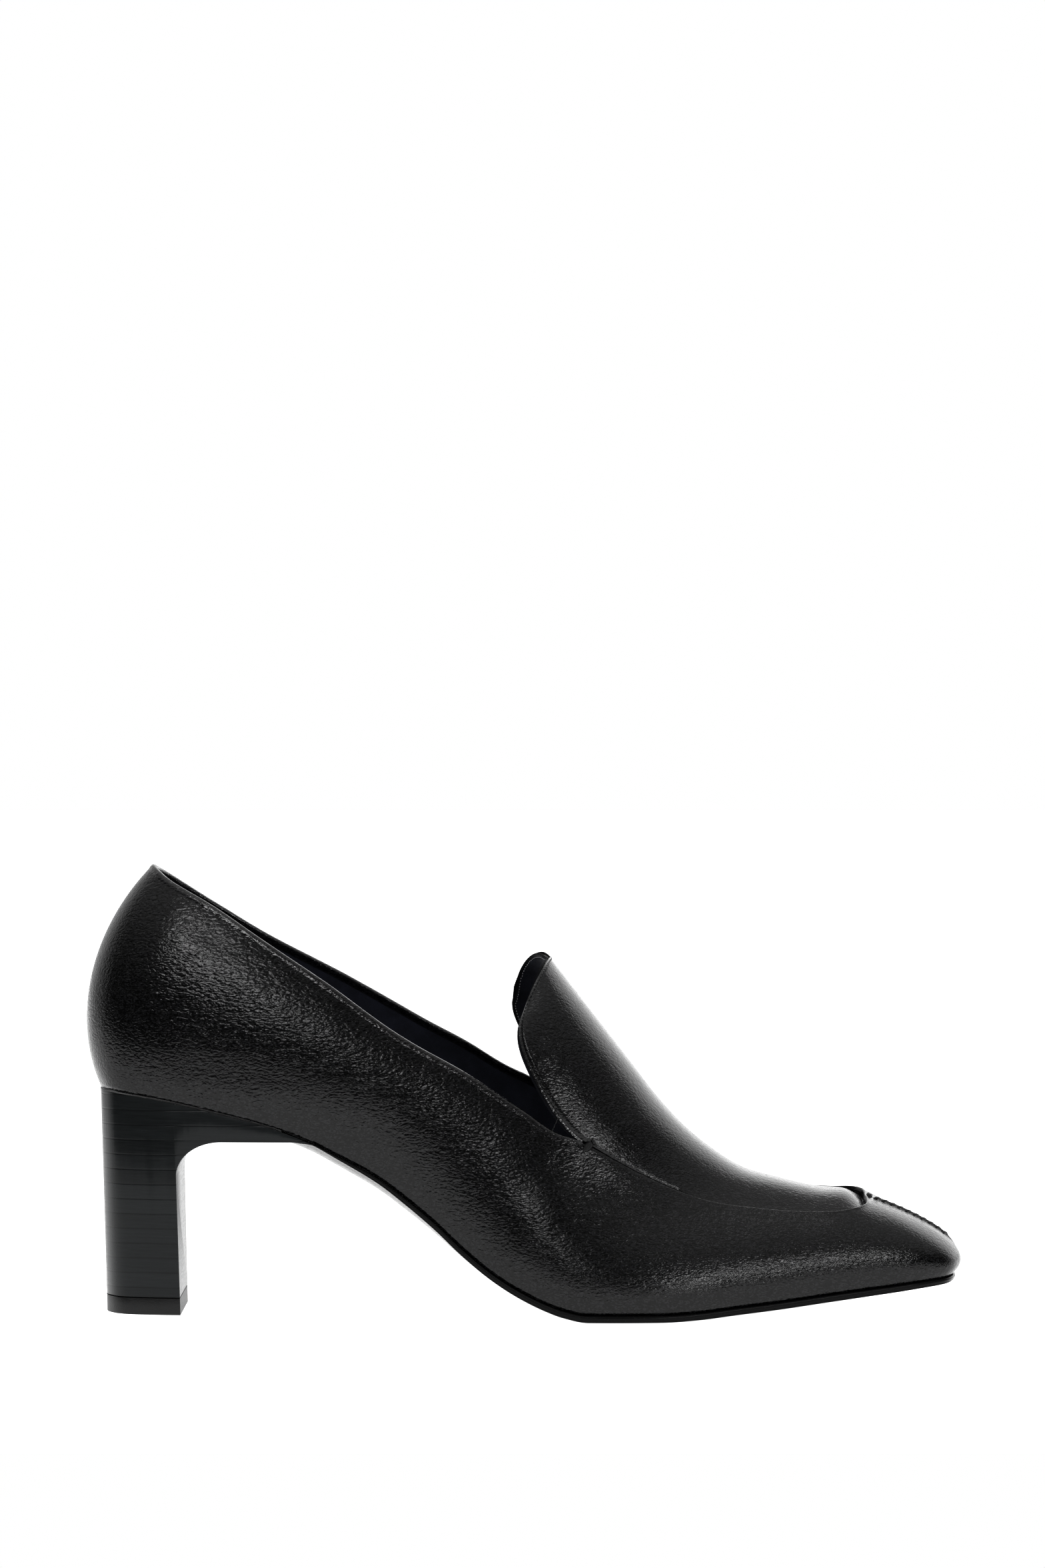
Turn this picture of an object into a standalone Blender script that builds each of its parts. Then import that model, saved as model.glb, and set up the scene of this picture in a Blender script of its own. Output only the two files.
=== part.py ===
"""A woman's right loafer pump: square toe, apron vamp running up into a tongue, slim block heel.

The shoe stands on the plane z = 0 with its toe along +X, and its outer (lateral) side faces -Y.
Pieces: upper, insole, outsole, heel and top lift. Sizes are in metres.
"""

import math
from collections import namedtuple

import bpy
import numpy as np

# Driving sizes of the last
SHOE_LENGTH = 0.2436  # back of the heel curve to the tip of the toe
BALL_WIDTH = 0.0800  # across the upper at the ball
HEEL_HEIGHT = 0.0624  # floor to the back of the heel seat
TOE_SPRING = 0.0086  # rise of the feather line from the ball to the toe
BACK_HEIGHT = 0.0612  # counter, from the heel seat to the collar
THROAT_HEIGHT = 0.0395  # side wall at the junction of collar and tongue
TOE_HEIGHT = 0.0204  # side wall at the tip of the toe
INSTEP_CROWN = 0.0084  # ridge of the apron above its two seams, at the throat
SEAT_CROWN = 0.0015  # roundness across the bottom of the last, from seat to waist

# Tongue
TONGUE_LENGTH = 0.0481
TONGUE_SLOPE = math.radians(52.4)
TONGUE_DEPTH = 0.0240  # ridge to the free edges, square to the ridge

# Thicknesses
UPPER_WALL = 0.0018
SEAM_STEP = 0.0008  # how far the folded side panel stands above the apron
INSOLE_THICKNESS = 0.0020
SOLE_THICKNESS = 0.0020
SOLE_ROUND = 0.0005  # how far the middle of the sole edge stands out
WAIST_CROWN = 0.0036  # roundness under the waist of the outsole
GAP = 0.0003  # clearance between pieces that touch

# Heel
LIFT_THICKNESS = 0.0046
BASE_WIDTH = 0.0362  # heel and top lift, at the floor
BASE_BACK = 0.0057  # back of the heel at the floor, from the back of the shoe
BASE_BREAST = 0.0270  # breast of the heel at the floor, from the back of the shoe
BREAST_TOP = 0.0260  # breast of the heel below its arch, from the back of the shoe
WING_DROP = 0.0142  # seat to the underside of the heel's wing
WING_LENGTH = 0.0634  # back of the shoe to the tips of the wing
WING_HOLLOW = 0.0092  # how far the middle of the wing's front edge lies behind its tips
ARCH_LENGTH = 0.0125  # elliptical corner between breast and wing
ARCH_DROP = 0.0095
WING_SAG = 0.0006  # fall of the wing's underside towards its tips

# Resolution of the faceted solids
STEPS_PER_RIB = 3
WALL_STEPS = 9
TONGUE_STEPS = 3
CROSS_STEPS = 10
ARCH_STEPS = 8
HEEL_STEPS = 24
SOLE_STEPS = 26
TOE_STEPS = 4  # per rib, round the toe and the back of the insole
CUT_MARGIN = 0.01  # how far a cutter reaches past what it cuts

LATERAL, MEDIAL = -1, 1
JUNCTION, CORNER, TIP = 10, 17, 20  # ribs at the throat, the apron's front corner and the toe

# The feather line, where upper and sole meet, seen from the side.
# along: share of SHOE_LENGTH. rise: share of the height from ball to heel seat.
# spring: share of TOE_SPRING. edge: share of SOLE_THICKNESS that shows. waist: share of WAIST_CROWN.
Feather = namedtuple("Feather", "along rise spring edge waist")
FEATHER = [
    Feather(0.000, 1.006, 0.00, 0.22, 1.00),
    Feather(0.016, 1.000, 0.00, 0.22, 1.00),
    Feather(0.078, 0.966, 0.00, 0.22, 1.00),
    Feather(0.135, 0.916, 0.00, 0.22, 1.00),
    Feather(0.205, 0.845, 0.00, 0.22, 1.00),
    Feather(0.240, 0.797, 0.00, 0.22, 1.00),
    Feather(0.262, 0.759, 0.00, 0.24, 1.00),
    Feather(0.287, 0.709, 0.00, 0.46, 0.97),
    Feather(0.335, 0.605, 0.00, 0.78, 0.93),
    Feather(0.367, 0.511, 0.00, 0.90, 0.89),
    Feather(0.399, 0.406, 0.00, 0.96, 0.80),
    Feather(0.430, 0.291, 0.00, 1.00, 0.62),
    Feather(0.462, 0.187, 0.00, 1.00, 0.42),
    Feather(0.493, 0.109, 0.00, 1.00, 0.20),
    Feather(0.525, 0.048, 0.00, 1.00, 0.05),
    Feather(0.545, 0.020, 0.00, 1.00, 0.00),
    Feather(0.572, 0.000, 0.00, 1.00, 0.00),
    Feather(0.655, 0.000, 0.00, 1.00, 0.00),
    Feather(0.697, 0.000, 0.06, 1.00, 0.00),
    Feather(0.735, 0.000, 0.17, 1.00, 0.00),
    Feather(0.791, 0.000, 0.33, 1.00, 0.00),
    Feather(0.852, 0.000, 0.54, 1.00, 0.00),
    Feather(0.914, 0.000, 0.745, 0.95, 0.00),
    Feather(0.954, 0.000, 0.88, 0.87, 0.00),
    Feather(1.000, 0.000, 1.02, 0.80, 0.00),
]

# Ribs of the side wall, from the middle of the heel round either side to the middle of the toe.
# Each rib runs from its foot on the feather line to its top on the collar or on the apron's seam.
# foot and lean are shares of SHOE_LENGTH. The half widths and the swell of the two
# control points (low, high) are shares of BALL_WIDTH. rise is a share of the side wall's height.
# low_lean and high_lean say how far the control points follow the lean of the rib.
Rib = namedtuple(
    "Rib",
    "foot foot_out foot_in lean top_out top_in rise_out rise_in low high low_lean high_lean",
)
RIBS = [
    Rib(0.0164, 0.000, 0.000, 0.0587, 0.000, 0.000, 1.000, 1.000, 0.106, 0.225, 0.00, 0.00),
    Rib(0.0205, 0.128, 0.126, 0.0600, 0.080, 0.080, 0.988, 0.988, 0.098, 0.200, 0.05, 0.05),
    Rib(0.0400, 0.230, 0.226, 0.0600, 0.158, 0.156, 0.955, 0.957, 0.080, 0.132, 0.15, 0.15),
    Rib(0.0820, 0.276, 0.272, 0.0660, 0.232, 0.224, 0.900, 0.882, 0.068, 0.086, 0.25, 0.30),
    Rib(0.1355, 0.292, 0.286, 0.0677, 0.280, 0.268, 0.830, 0.822, 0.062, 0.062, 0.33, 0.33),
    Rib(0.1970, 0.300, 0.284, 0.0759, 0.306, 0.292, 0.732, 0.768, 0.060, 0.056, 0.33, 0.33),
    Rib(0.2586, 0.300, 0.266, 0.0883, 0.328, 0.312, 0.622, 0.718, 0.062, 0.052, 0.33, 0.33),
    Rib(0.3161, 0.304, 0.252, 0.0985, 0.346, 0.332, 0.604, 0.712, 0.066, 0.044, 0.33, 0.33),
    Rib(0.3736, 0.328, 0.262, 0.1026, 0.364, 0.352, 0.643, 0.766, 0.072, 0.042, 0.33, 0.33),
    Rib(0.4331, 0.375, 0.302, 0.0944, 0.378, 0.368, 0.784, 0.958, 0.070, 0.048, 0.33, 0.33),
    Rib(0.4926, 0.430, 0.372, 0.0739, 0.372, 0.362, 1.000, 1.134, 0.066, 0.064, 0.33, 0.33),
    Rib(0.5542, 0.470, 0.446, 0.0616, 0.346, 0.338, 1.040, 1.158, 0.064, 0.084, 0.33, 0.33),
    Rib(0.6158, 0.478, 0.476, 0.0493, 0.326, 0.320, 0.962, 1.082, 0.062, 0.096, 0.33, 0.33),
    Rib(0.6814, 0.456, 0.466, 0.0328, 0.309, 0.306, 0.904, 1.022, 0.062, 0.098, 0.33, 0.33),
    Rib(0.7512, 0.402, 0.426, 0.0123, 0.292, 0.290, 0.868, 0.981, 0.062, 0.090, 0.30, 0.33),
    Rib(0.8210, 0.346, 0.370, -0.0082, 0.274, 0.274, 0.842, 0.963, 0.062, 0.080, 0.20, 0.33),
    Rib(0.8908, 0.298, 0.318, -0.0390, 0.253, 0.256, 0.846, 0.967, 0.060, 0.072, 0.10, 0.33),
    Rib(0.9442, 0.265, 0.282, -0.0657, 0.212, 0.219, 0.890, 0.996, 0.056, 0.074, 0.03, 0.33),
    Rib(0.9770, 0.215, 0.228, -0.0850, 0.150, 0.156, 0.936, 1.004, 0.066, 0.110, 0.00, 0.28),
    Rib(0.9895, 0.118, 0.124, -0.0946, 0.080, 0.083, 0.980, 1.006, 0.084, 0.186, 0.00, 0.10),
    Rib(0.9918, 0.000, 0.000, -0.0977, 0.000, 0.000, 1.008, 1.008, 0.090, 0.222, 0.00, 0.00),
]
LOW_SHARE, HIGH_SHARE = 0.29, 0.30  # heights of the control points from either end of a rib

# Ridge of the apron over its seams, at ribs 10 to 16.
# lead: share of SHOE_LENGTH ahead of the seams. crown: share of INSTEP_CROWN.
# steep: how flat the apron leaves its seam, 0 for upright.
Ridge = namedtuple("Ridge", "lead crown steep")
RIDGE = [
    Ridge(0.0862, 1.00, 0.12),
    Ridge(0.0677, 0.90, 0.16),
    Ridge(0.0493, 0.86, 0.22),
    Ridge(0.0369, 0.70, 0.28),
    Ridge(0.0287, 0.58, 0.32),
    Ridge(0.0226, 0.50, 0.34),
    Ridge(0.0172, 0.40, 0.34),
]
ROUND_ROW = 0.56  # pull of the ridge's tangent, for a round arch

# Tongue above the throat, in the plane of its ridge. ridge, up: shares of TONGUE_LENGTH
# for the ridge and for the free edges. deep: share of TONGUE_DEPTH. wide: share of BALL_WIDTH.
# bow: how far each half of the row bulges up the tongue, as a share of TONGUE_LENGTH.
Tongue = namedtuple("Tongue", "ridge up_out deep_out wide_out up_in deep_in wide_in bow_out bow_in")
TONGUE = [
    Tongue(0.220, 0.290, 1.00, 0.366, 0.380, 0.86, 0.356, 0.000, 0.000),
    Tongue(0.437, 0.510, 0.95, 0.358, 0.590, 0.83, 0.346, 0.000, 0.000),
    Tongue(0.649, 0.700, 0.86, 0.338, 0.780, 0.76, 0.326, 0.002, 0.008),
    Tongue(0.840, 0.820, 0.73, 0.304, 0.905, 0.68, 0.292, 0.006, 0.028),
    Tongue(1.000, 0.890, 0.55, 0.246, 0.985, 0.56, 0.240, 0.014, 0.066),
]


def clear_scene():
    for found in list(bpy.data.objects):
        bpy.data.objects.remove(found)


def material(name, colour, roughness, metallic=0.0):
    made = bpy.data.materials.new(name)
    made.use_nodes = True
    shader = made.node_tree.nodes["Principled BSDF"]
    shader.inputs["Base Color"].default_value = (*colour, 1.0)
    shader.inputs["Roughness"].default_value = roughness
    shader.inputs["Metallic"].default_value = metallic
    return made


def smooth(t):
    t = min(1.0, max(0.0, t))
    return t * t * (3 - 2 * t)


def through(before, first, second, after, t):
    """A point on the smooth curve from first to second, which passes through all four."""
    return 0.5 * (
        2 * first
        + (second - before) * t
        + (2 * before - 5 * first + 4 * second - after) * t * t
        + (3 * first - before - 3 * second + after) * t ** 3
    )


def bezier(a, b, c, d, t):
    s = 1 - t
    return s ** 3 * a + 3 * s * s * t * b + 3 * s * t * t * c + t ** 3 * d


def unit(vector):
    return vector / np.linalg.norm(vector)


def feather_row(x):
    """The Feather row at x, by a monotone cubic, so that flat stretches stay flat."""
    at = min(1.0, max(0.0, x / SHOE_LENGTH))
    keys = np.array(FEATHER)
    i = int(np.searchsorted(keys[:, 0], at, side="right")) - 1
    i = min(max(i, 0), len(keys) - 2)
    span = np.diff(keys[:, 0])
    slopes = np.diff(keys, axis=0) / span[:, None]
    wide = span[i]
    share = (at - keys[i, 0]) / wide
    left, right = limited(slopes, i), limited(slopes, i + 1)
    s2, s3 = share ** 2, share ** 3
    row = (
        (2 * s3 - 3 * s2 + 1) * keys[i]
        + (s3 - 2 * s2 + share) * wide * left
        + (3 * s2 - 2 * s3) * keys[i + 1]
        + (s3 - s2) * wide * right
    )
    return Feather(*row)


def limited(slopes, i):
    """The slope at key i: the harmonic mean of its neighbours', and 0 at a turn."""
    if i == 0 or i == len(slopes):
        return slopes[min(i, len(slopes) - 1)]
    before, after = slopes[i - 1], slopes[i]
    same = before * after > 0
    total = np.where(same, before + after, 1.0)
    return np.where(same, 2 * before * after / total, 0.0)


def sole_line(x):
    """Height of the outsole's lower edge."""
    row = feather_row(x)
    return row.rise * (HEEL_HEIGHT - SOLE_THICKNESS) + row.spring * TOE_SPRING


def last_bottom(x, crown=0.0):
    """Height of the bottom of the last. crown is 0 on the edge and 1 on the middle line."""
    return sole_line(x) + SOLE_THICKNESS - SEAT_CROWN * feather_row(x).waist * crown


def outsole_bottom(x, crown):
    row = feather_row(x)
    return sole_line(x) + SOLE_THICKNESS * (1 - row.edge) - WAIST_CROWN * row.waist * crown


def crown_at(outer, inner, across):
    """How full the roundness is between two edge points. It fades where the shoe ends."""
    full = smooth((inner[1] - outer[1]) / (0.4 * BALL_WIDTH))
    return full * (1 - across ** 2)


def wall_height(x):
    """Height of the side wall over the feather line, between heel, throat and toe."""
    heel = RIBS[0].foot * SHOE_LENGTH
    throat = RIBS[JUNCTION].foot * SHOE_LENGTH
    toe = RIBS[TIP].foot * SHOE_LENGTH
    if x < throat:
        share = (x - heel) / (throat - heel)
        return BACK_HEIGHT + share * (THROAT_HEIGHT - BACK_HEIGHT)
    share = (x - throat) / (toe - throat)
    return THROAT_HEIGHT + share * (TOE_HEIGHT - THROAT_HEIGHT)


WIDTHS = [name in ("foot_out", "foot_in", "top_out", "top_in") for name in Rib._fields]
MIRROR = np.where(WIDTHS, -1.0, 1.0)


def rib_row(t):
    """The Rib row at t, from 0 at the heel to TIP at the toe, mirrored past either end."""
    keys = np.array(RIBS)
    i = min(int(t), TIP - 1)
    before = keys[i - 1] if i else keys[1] * MIRROR
    after = keys[i + 2] if i + 2 <= TIP else keys[TIP - 1] * MIRROR
    return Rib(*through(before, keys[i], keys[i + 1], after, t - i))


def foot_point(side, t):
    """A point of the feather line, at the foot of rib t."""
    row = rib_row(t)
    wide = row.foot_out if side == LATERAL else row.foot_in
    x = row.foot * SHOE_LENGTH
    return np.array([x, side * wide * BALL_WIDTH, last_bottom(x)])


def outward(side, t):
    """The level direction square to the feather line, away from the foot."""
    near = 0.02
    low, high = max(0.0, t - near), min(float(TIP), t + near)
    run = foot_point(side, high) - foot_point(side, low)
    if t < near:
        run[0] = 0.0
    if t > TIP - near:
        run[0] = 0.0
    return unit(np.array([-side * run[1], side * run[0], 0.0]))


def rib_controls(side, t):
    """Foot, two control points and top of the rib at t."""
    row = rib_row(t)
    foot = foot_point(side, t) + [0, 0, GAP]
    top_wide = row.top_out if side == LATERAL else row.top_in
    rise_share = row.rise_out if side == LATERAL else row.rise_in
    rise = rise_share * wall_height(foot[0])
    lean = row.lean * SHOE_LENGTH
    top = np.array([foot[0] + lean, side * top_wide * BALL_WIDTH, foot[2] + rise])
    away = outward(side, t)
    low = foot + away * row.low * BALL_WIDTH + [row.low_lean * lean, 0, LOW_SHARE * rise]
    high = top + away * row.high * BALL_WIDTH - [row.high_lean * lean, 0, HIGH_SHARE * rise]
    return foot, low, high, top


def wall_point(side, t, v):
    """A point of the outer side wall, from v = 0 on the feather line to 1 on its top edge."""
    return bezier(*rib_controls(side, t), v)


def wall_top(side, t):
    return rib_controls(side, t)[3]


def seam_edge(side, t):
    """The apron's edge, a step below the side panel, which fades out at the throat."""
    depth = SEAM_STEP * smooth(t - JUNCTION)
    if t >= CORNER:
        inward = np.array([-1.0, 0.0, 0.0]) * smooth((t - CORNER) / 1.5)
        inward[1] = -side * (1 - smooth((t - CORNER) / 1.5))
    else:
        inward = np.array([0.0, -side, 0.0])
    return wall_top(side, t) + depth * (0.5 * inward + [0, 0, -1])


def ridge_point(rib):
    """The apron's ridge over rib 10 to 16."""
    row = RIDGE[rib - JUNCTION]
    middle = (wall_top(LATERAL, rib) + wall_top(MEDIAL, rib)) / 2
    return np.array([
        middle[0] + row.lead * SHOE_LENGTH,
        0.0,
        middle[2] + row.crown * INSTEP_CROWN,
    ])


def tongue_point(along, deep, y):
    """A point given by its distance up the tongue's ridge and square to it, below."""
    origin = ridge_point(JUNCTION)
    up = np.array([-math.cos(TONGUE_SLOPE), 0.0, math.sin(TONGUE_SLOPE)])
    below = np.array([-math.sin(TONGUE_SLOPE), 0.0, -math.cos(TONGUE_SLOPE)])
    point = origin + up * along * TONGUE_LENGTH + below * deep * TONGUE_DEPTH
    return point + np.array([0.0, y * BALL_WIDTH, 0.0])


# A key row of the apron: its outer edge, its ridge and its inner edge, how flat it leaves
# its edges, and how far its outer and inner half bulge up the tongue.
KeyRow = namedtuple("KeyRow", "outer ridge inner steep bow_out bow_in")


def apron_keys():
    """The key rows of apron and tongue, from the apron's front to the tongue's top."""
    still = np.zeros(3)
    front = seam_edge(LATERAL, TIP)
    corners = seam_edge(LATERAL, CORNER), seam_edge(MEDIAL, CORNER)
    keys = [KeyRow(corners[0], front, corners[1], RIDGE[-1].steep, still, still)]
    for rib in range(CORNER - 1, JUNCTION - 1, -1):
        edges = seam_edge(LATERAL, rib), seam_edge(MEDIAL, rib)
        steep = RIDGE[rib - JUNCTION].steep
        keys.append(KeyRow(edges[0], ridge_point(rib), edges[1], steep, still, still))
    for row in TONGUE:
        keys.append(KeyRow(
            tongue_point(row.up_out, row.deep_out, -row.wide_out),
            tongue_point(row.ridge, 0.0, 0.0),
            tongue_point(row.up_in, row.deep_in, row.wide_in),
            RIDGE[0].steep,
            tongue_point(row.bow_out, 0.0, 0.0) - tongue_point(0.0, 0.0, 0.0),
            tongue_point(row.bow_in, 0.0, 0.0) - tongue_point(0.0, 0.0, 0.0),
        ))
    return keys


def arch(edge, ridge, steep, bow, share):
    """Half a row of the apron: a round arch from its edge, at share 0, to the ridge, at 1."""
    leave = edge + (ridge - edge) * [ROUND_ROW, steep, ROUND_ROW]
    arrive = ridge + (edge - ridge) * [0.0, ROUND_ROW, 0.0]
    return bezier(edge, leave, arrive, ridge, share) + bow * 4 * share * (1 - share)


def key_value(keys, name, s):
    """One column of the key rows at s, from 0 at the apron's front to the tongue's top."""
    values = [getattr(key, name) for key in keys]
    i = min(int(s), len(values) - 2)
    before = values[i - 1] if i else 2 * values[0] - values[1]
    after = values[i + 2] if i + 2 < len(values) else 2 * values[-1] - values[-2]
    return through(before, values[i], values[i + 1], after, s - i)


def apron_point(keys, s, c):
    """A point of the apron and tongue. c runs from -1 on the outer edge to 1 on the inner."""
    side = LATERAL if c < 0 else MEDIAL
    outer = side == LATERAL
    free = s > CORNER - JUNCTION
    edge = key_value(keys, "outer" if outer else "inner", s) if free else seam_edge(side, CORNER - s)
    bow = key_value(keys, "bow_out" if outer else "bow_in", s)
    share = 1 - abs(c)
    point = arch(edge, key_value(keys, "ridge", s), key_value(keys, "steep", s), bow, share)
    fade = 1 - smooth(s / 1.5)
    if fade:
        front = seam_edge(side, CORNER + (TIP - CORNER) * share)
        plain = arch(seam_edge(side, CORNER), keys[0].ridge, keys[0].steep, bow, share)
        point = point + fade * (front - plain)
    return point


class Shell:
    """Points and faces of a surface, where points at the same place are one."""

    def __init__(self):
        self.points = []
        self.faces = []
        self.known = {}

    def add(self, point):
        key = tuple(int(round(v * 1e7)) for v in point)
        if key not in self.known:
            self.known[key] = len(self.points)
            self.points.append(tuple(float(v) for v in point))
        return self.known[key]

    def grid(self, rows, flip=False):
        """Faces between rows of points, all of one length."""
        index = [[self.add(p) for p in row] for row in rows]
        for near, far in zip(index, index[1:]):
            for a, b, c, d in zip(near, near[1:], far[1:], far):
                corners = []
                for corner in (a, b, c, d):
                    if corner not in corners:
                        corners.append(corner)
                if len(corners) > 2:
                    self.faces.append(corners[::-1] if flip else corners)

    def to_object(self, name, shade):
        """A mesh object in the part's frame, smooth but for its sharp edges."""
        mesh = bpy.data.meshes.new(name)
        points = np.array(self.points) - ORIGIN
        mesh.from_pydata(points.tolist(), [], self.faces)
        mesh.shade_smooth()
        mesh.set_sharp_from_angle(angle=math.radians(40))
        mesh.materials.append(shade)
        made = bpy.data.objects.new(name, mesh)
        bpy.context.scene.collection.objects.link(made)
        return made


def rib_stations(first, last, steps):
    return [first + i / steps for i in range((last - first) * steps + 1)]


def upper_surface():
    """The outer surface of the upper, with its step at the apron's seam."""
    shell = Shell()
    stations = rib_stations(0, TIP, STEPS_PER_RIB)
    heights = np.linspace(0, 1, WALL_STEPS + 1)
    for side in (LATERAL, MEDIAL):
        rows = [[wall_point(side, t, v) for v in heights] for t in stations]
        shell.grid(rows, flip=side == LATERAL)
        seam = [[wall_top(side, t), seam_edge(side, t)] for t in stations if t >= JUNCTION]
        shell.grid(seam, flip=side == LATERAL)
    keys = apron_keys()
    seams = rib_stations(0, CORNER - JUNCTION, STEPS_PER_RIB)
    tongue = [CORNER - JUNCTION + i / TONGUE_STEPS for i in range(1, len(TONGUE) * TONGUE_STEPS + 1)]
    columns = (TIP - CORNER) * STEPS_PER_RIB
    across = np.linspace(-1, 1, 2 * columns + 1)
    shell.grid([[apron_point(keys, s, c) for c in across] for s in seams + tongue])
    return shell


def stations_between(start, end, count):
    """Ribs whose feet lie evenly between two places along the shoe."""
    places = np.linspace(start, end, count + 1)
    known = [k / 40 for k in range(40 * TIP + 1)]
    feet = [foot_point(LATERAL, t)[0] for t in known]
    return [float(np.interp(x, feet, known)) for x in places]


def cross_row(t, inset, height, hollow=0.0):
    """A row of points across the shoe at rib t. height gives z from x and the crown."""
    outer, inner = foot_point(LATERAL, t), foot_point(MEDIAL, t)
    outer = outer - inset * outward(LATERAL, t)
    inner = inner - inset * outward(MEDIAL, t)
    row = []
    for across in np.linspace(-1, 1, CROSS_STEPS + 1):
        share = (across + 1) / 2
        x = outer[0] + share * (inner[0] - outer[0]) - hollow * (1 - across ** 2)
        y = outer[1] + share * (inner[1] - outer[1])
        row.append(np.array([x, y, height(x, crown_at(outer, inner, across))]))
    return row


def plate(stations, rings, hollows):
    """A closed plate with rows across the shoe. rings: (inset, height) from top to bottom."""
    shell = Shell()
    layers = []
    for inset, height in rings:
        layers.append([cross_row(t, inset, height, h) for t, h in zip(stations, hollows)])
    shell.grid(layers[0], flip=True)
    shell.grid(layers[-1])
    for upper, lower in zip(layers, layers[1:]):
        for column, flip in ((0, False), (-1, True)):
            rows = [[a[column], b[column]] for a, b in zip(upper, lower)]
            shell.grid(rows, flip=flip)
        for end, flip in ((0, True), (-1, False)):
            shell.grid([[a, b] for a, b in zip(upper[end], lower[end])], flip=flip)
    return shell


def hollow_at(x, start):
    """How far a row bows back at x, so that rows turn from the wing's edge to straight."""
    fade = 1 - smooth((x - start) / (WING_LENGTH / 2))
    return WING_HOLLOW * fade


def outsole():
    """The outsole, with an edge that stands out round its middle and steps in at the tread."""
    start = WING_LENGTH + GAP
    front = RIBS[TIP].foot * SHOE_LENGTH
    stations = stations_between(start, RIBS[CORNER].foot * SHOE_LENGTH, SOLE_STEPS)
    stations += rib_stations(CORNER, TIP, TOE_STEPS)[1:]
    hollows = [hollow_at(foot_point(LATERAL, t)[0], start) for t in stations]

    def between(share):
        def height(x, crown):
            top = last_bottom(min(x, front), crown)
            return top + share * (outsole_bottom(min(x, front), crown) - top)
        return height

    rings = [
        (0.4 * SOLE_ROUND, between(0.0)),
        (-SOLE_ROUND, between(0.35)),
        (-0.6 * SOLE_ROUND, between(0.72)),
        (SOLE_ROUND, between(1.0)),
    ]
    return plate(stations, rings, hollows)


def insole():
    """The insole, which lies inside the upper's wall."""
    inset = UPPER_WALL + 2 * GAP
    stations = rib_stations(0, 2, TOE_STEPS)
    stations += rib_stations(2, TIP - 2, 2)[1:]
    stations += rib_stations(TIP - 2, TIP, TOE_STEPS)[1:]
    rings = [
        (inset, lambda x, crown: last_bottom(x, crown) + GAP + INSOLE_THICKNESS),
        (inset, lambda x, crown: last_bottom(x, crown) + GAP),
    ]
    return plate(stations, rings, [0.0] * len(stations))


def heel_outline(t, side, share):
    """The heel's side at rib t, from share 0 on the seat to 1 at the floor."""
    top = foot_point(side, t)
    narrow = BASE_WIDTH / (BALL_WIDTH * (RIBS[4].foot_out + RIBS[4].foot_in))
    base = np.array([top[0] + BASE_BACK - RIBS[0].foot * SHOE_LENGTH, top[1] * narrow, 0.0])
    return top + share * (base - top)


def heel_block(top_height, low):
    """The full block under the seat between two heights, before its arch is cut."""
    tip = stations_between(0, WING_LENGTH, 1)[-1]
    stations = [tip * i / HEEL_STEPS for i in range(HEEL_STEPS + 1)]
    back = RIBS[0].foot * SHOE_LENGTH

    def ring(height):
        """A row of points across the heel at each station, at a height that may follow the seat."""
        rows = []
        for t in stations:
            seat = foot_point(LATERAL, t)[2]
            share = 0.0 if height is None else 1 - height / seat
            outer, inner = heel_outline(t, LATERAL, share), heel_outline(t, MEDIAL, share)
            forward = (foot_point(LATERAL, t)[0] - back) / (WING_LENGTH - back)
            bow = WING_HOLLOW * smooth(forward) ** 2
            row = []
            for across in np.linspace(-1, 1, CROSS_STEPS + 1):
                point = outer + (across + 1) / 2 * (inner - outer)
                point[0] -= bow * (1 - across ** 2)
                if height is None:
                    point[2] = last_bottom(point[0], crown_at(outer, inner, across)) - GAP
                row.append(point)
            rows.append(row)
        return rows

    shell = Shell()
    upper, lower = ring(top_height), ring(low)
    shell.grid(upper, flip=True)
    shell.grid(lower)
    for column, flip in ((0, False), (-1, True)):
        shell.grid([[a[column], b[column]] for a, b in zip(upper, lower)], flip=flip)
    shell.grid([[a, b] for a, b in zip(upper[-1], lower[-1])])
    return shell


def arch_profile():
    """The space before the breast and under the wing, as a side view to be cut away."""
    under = HEEL_HEIGHT - WING_DROP
    spring = under - ARCH_DROP
    lean = (BASE_BREAST - BREAST_TOP) / spring
    level = WING_LENGTH - 0.2 * (WING_LENGTH - BREAST_TOP - ARCH_LENGTH)
    ahead = WING_LENGTH + CUT_MARGIN
    profile = [(ahead, -CUT_MARGIN), (ahead, under), (WING_LENGTH, under - WING_SAG), (level, under)]
    for i in range(ARCH_STEPS + 1):
        turn = math.pi / 2 * (1 + i / ARCH_STEPS)
        profile.append((
            BREAST_TOP + ARCH_LENGTH * (1 + math.cos(turn)),
            spring + ARCH_DROP * math.sin(turn),
        ))
    profile.append((BASE_BREAST + lean * CUT_MARGIN, -CUT_MARGIN))
    return profile


def arch_cutter():
    """The arch's side view, drawn across the shoe."""
    shell = Shell()
    reach = BALL_WIDTH
    outline = arch_profile()
    index = [[shell.add((x, y, z)) for x, z in outline] for y in (-reach, reach)]
    count = len(outline)
    for i in range(count):
        j = (i + 1) % count
        shell.faces.append([index[0][i], index[1][i], index[1][j], index[0][j]])
    shell.faces.append(index[0])
    shell.faces.append(index[1][::-1])
    cutter = shell.to_object("arch_cutter", bpy.data.materials["heel_stack"])
    cutter.hide_render = True
    cutter.display_type = "WIRE"
    return cutter


def cut(target, cutter):
    change = target.modifiers.new("arch", "BOOLEAN")
    change.operation = "DIFFERENCE"
    change.solver = "EXACT"
    change.object = cutter


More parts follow.
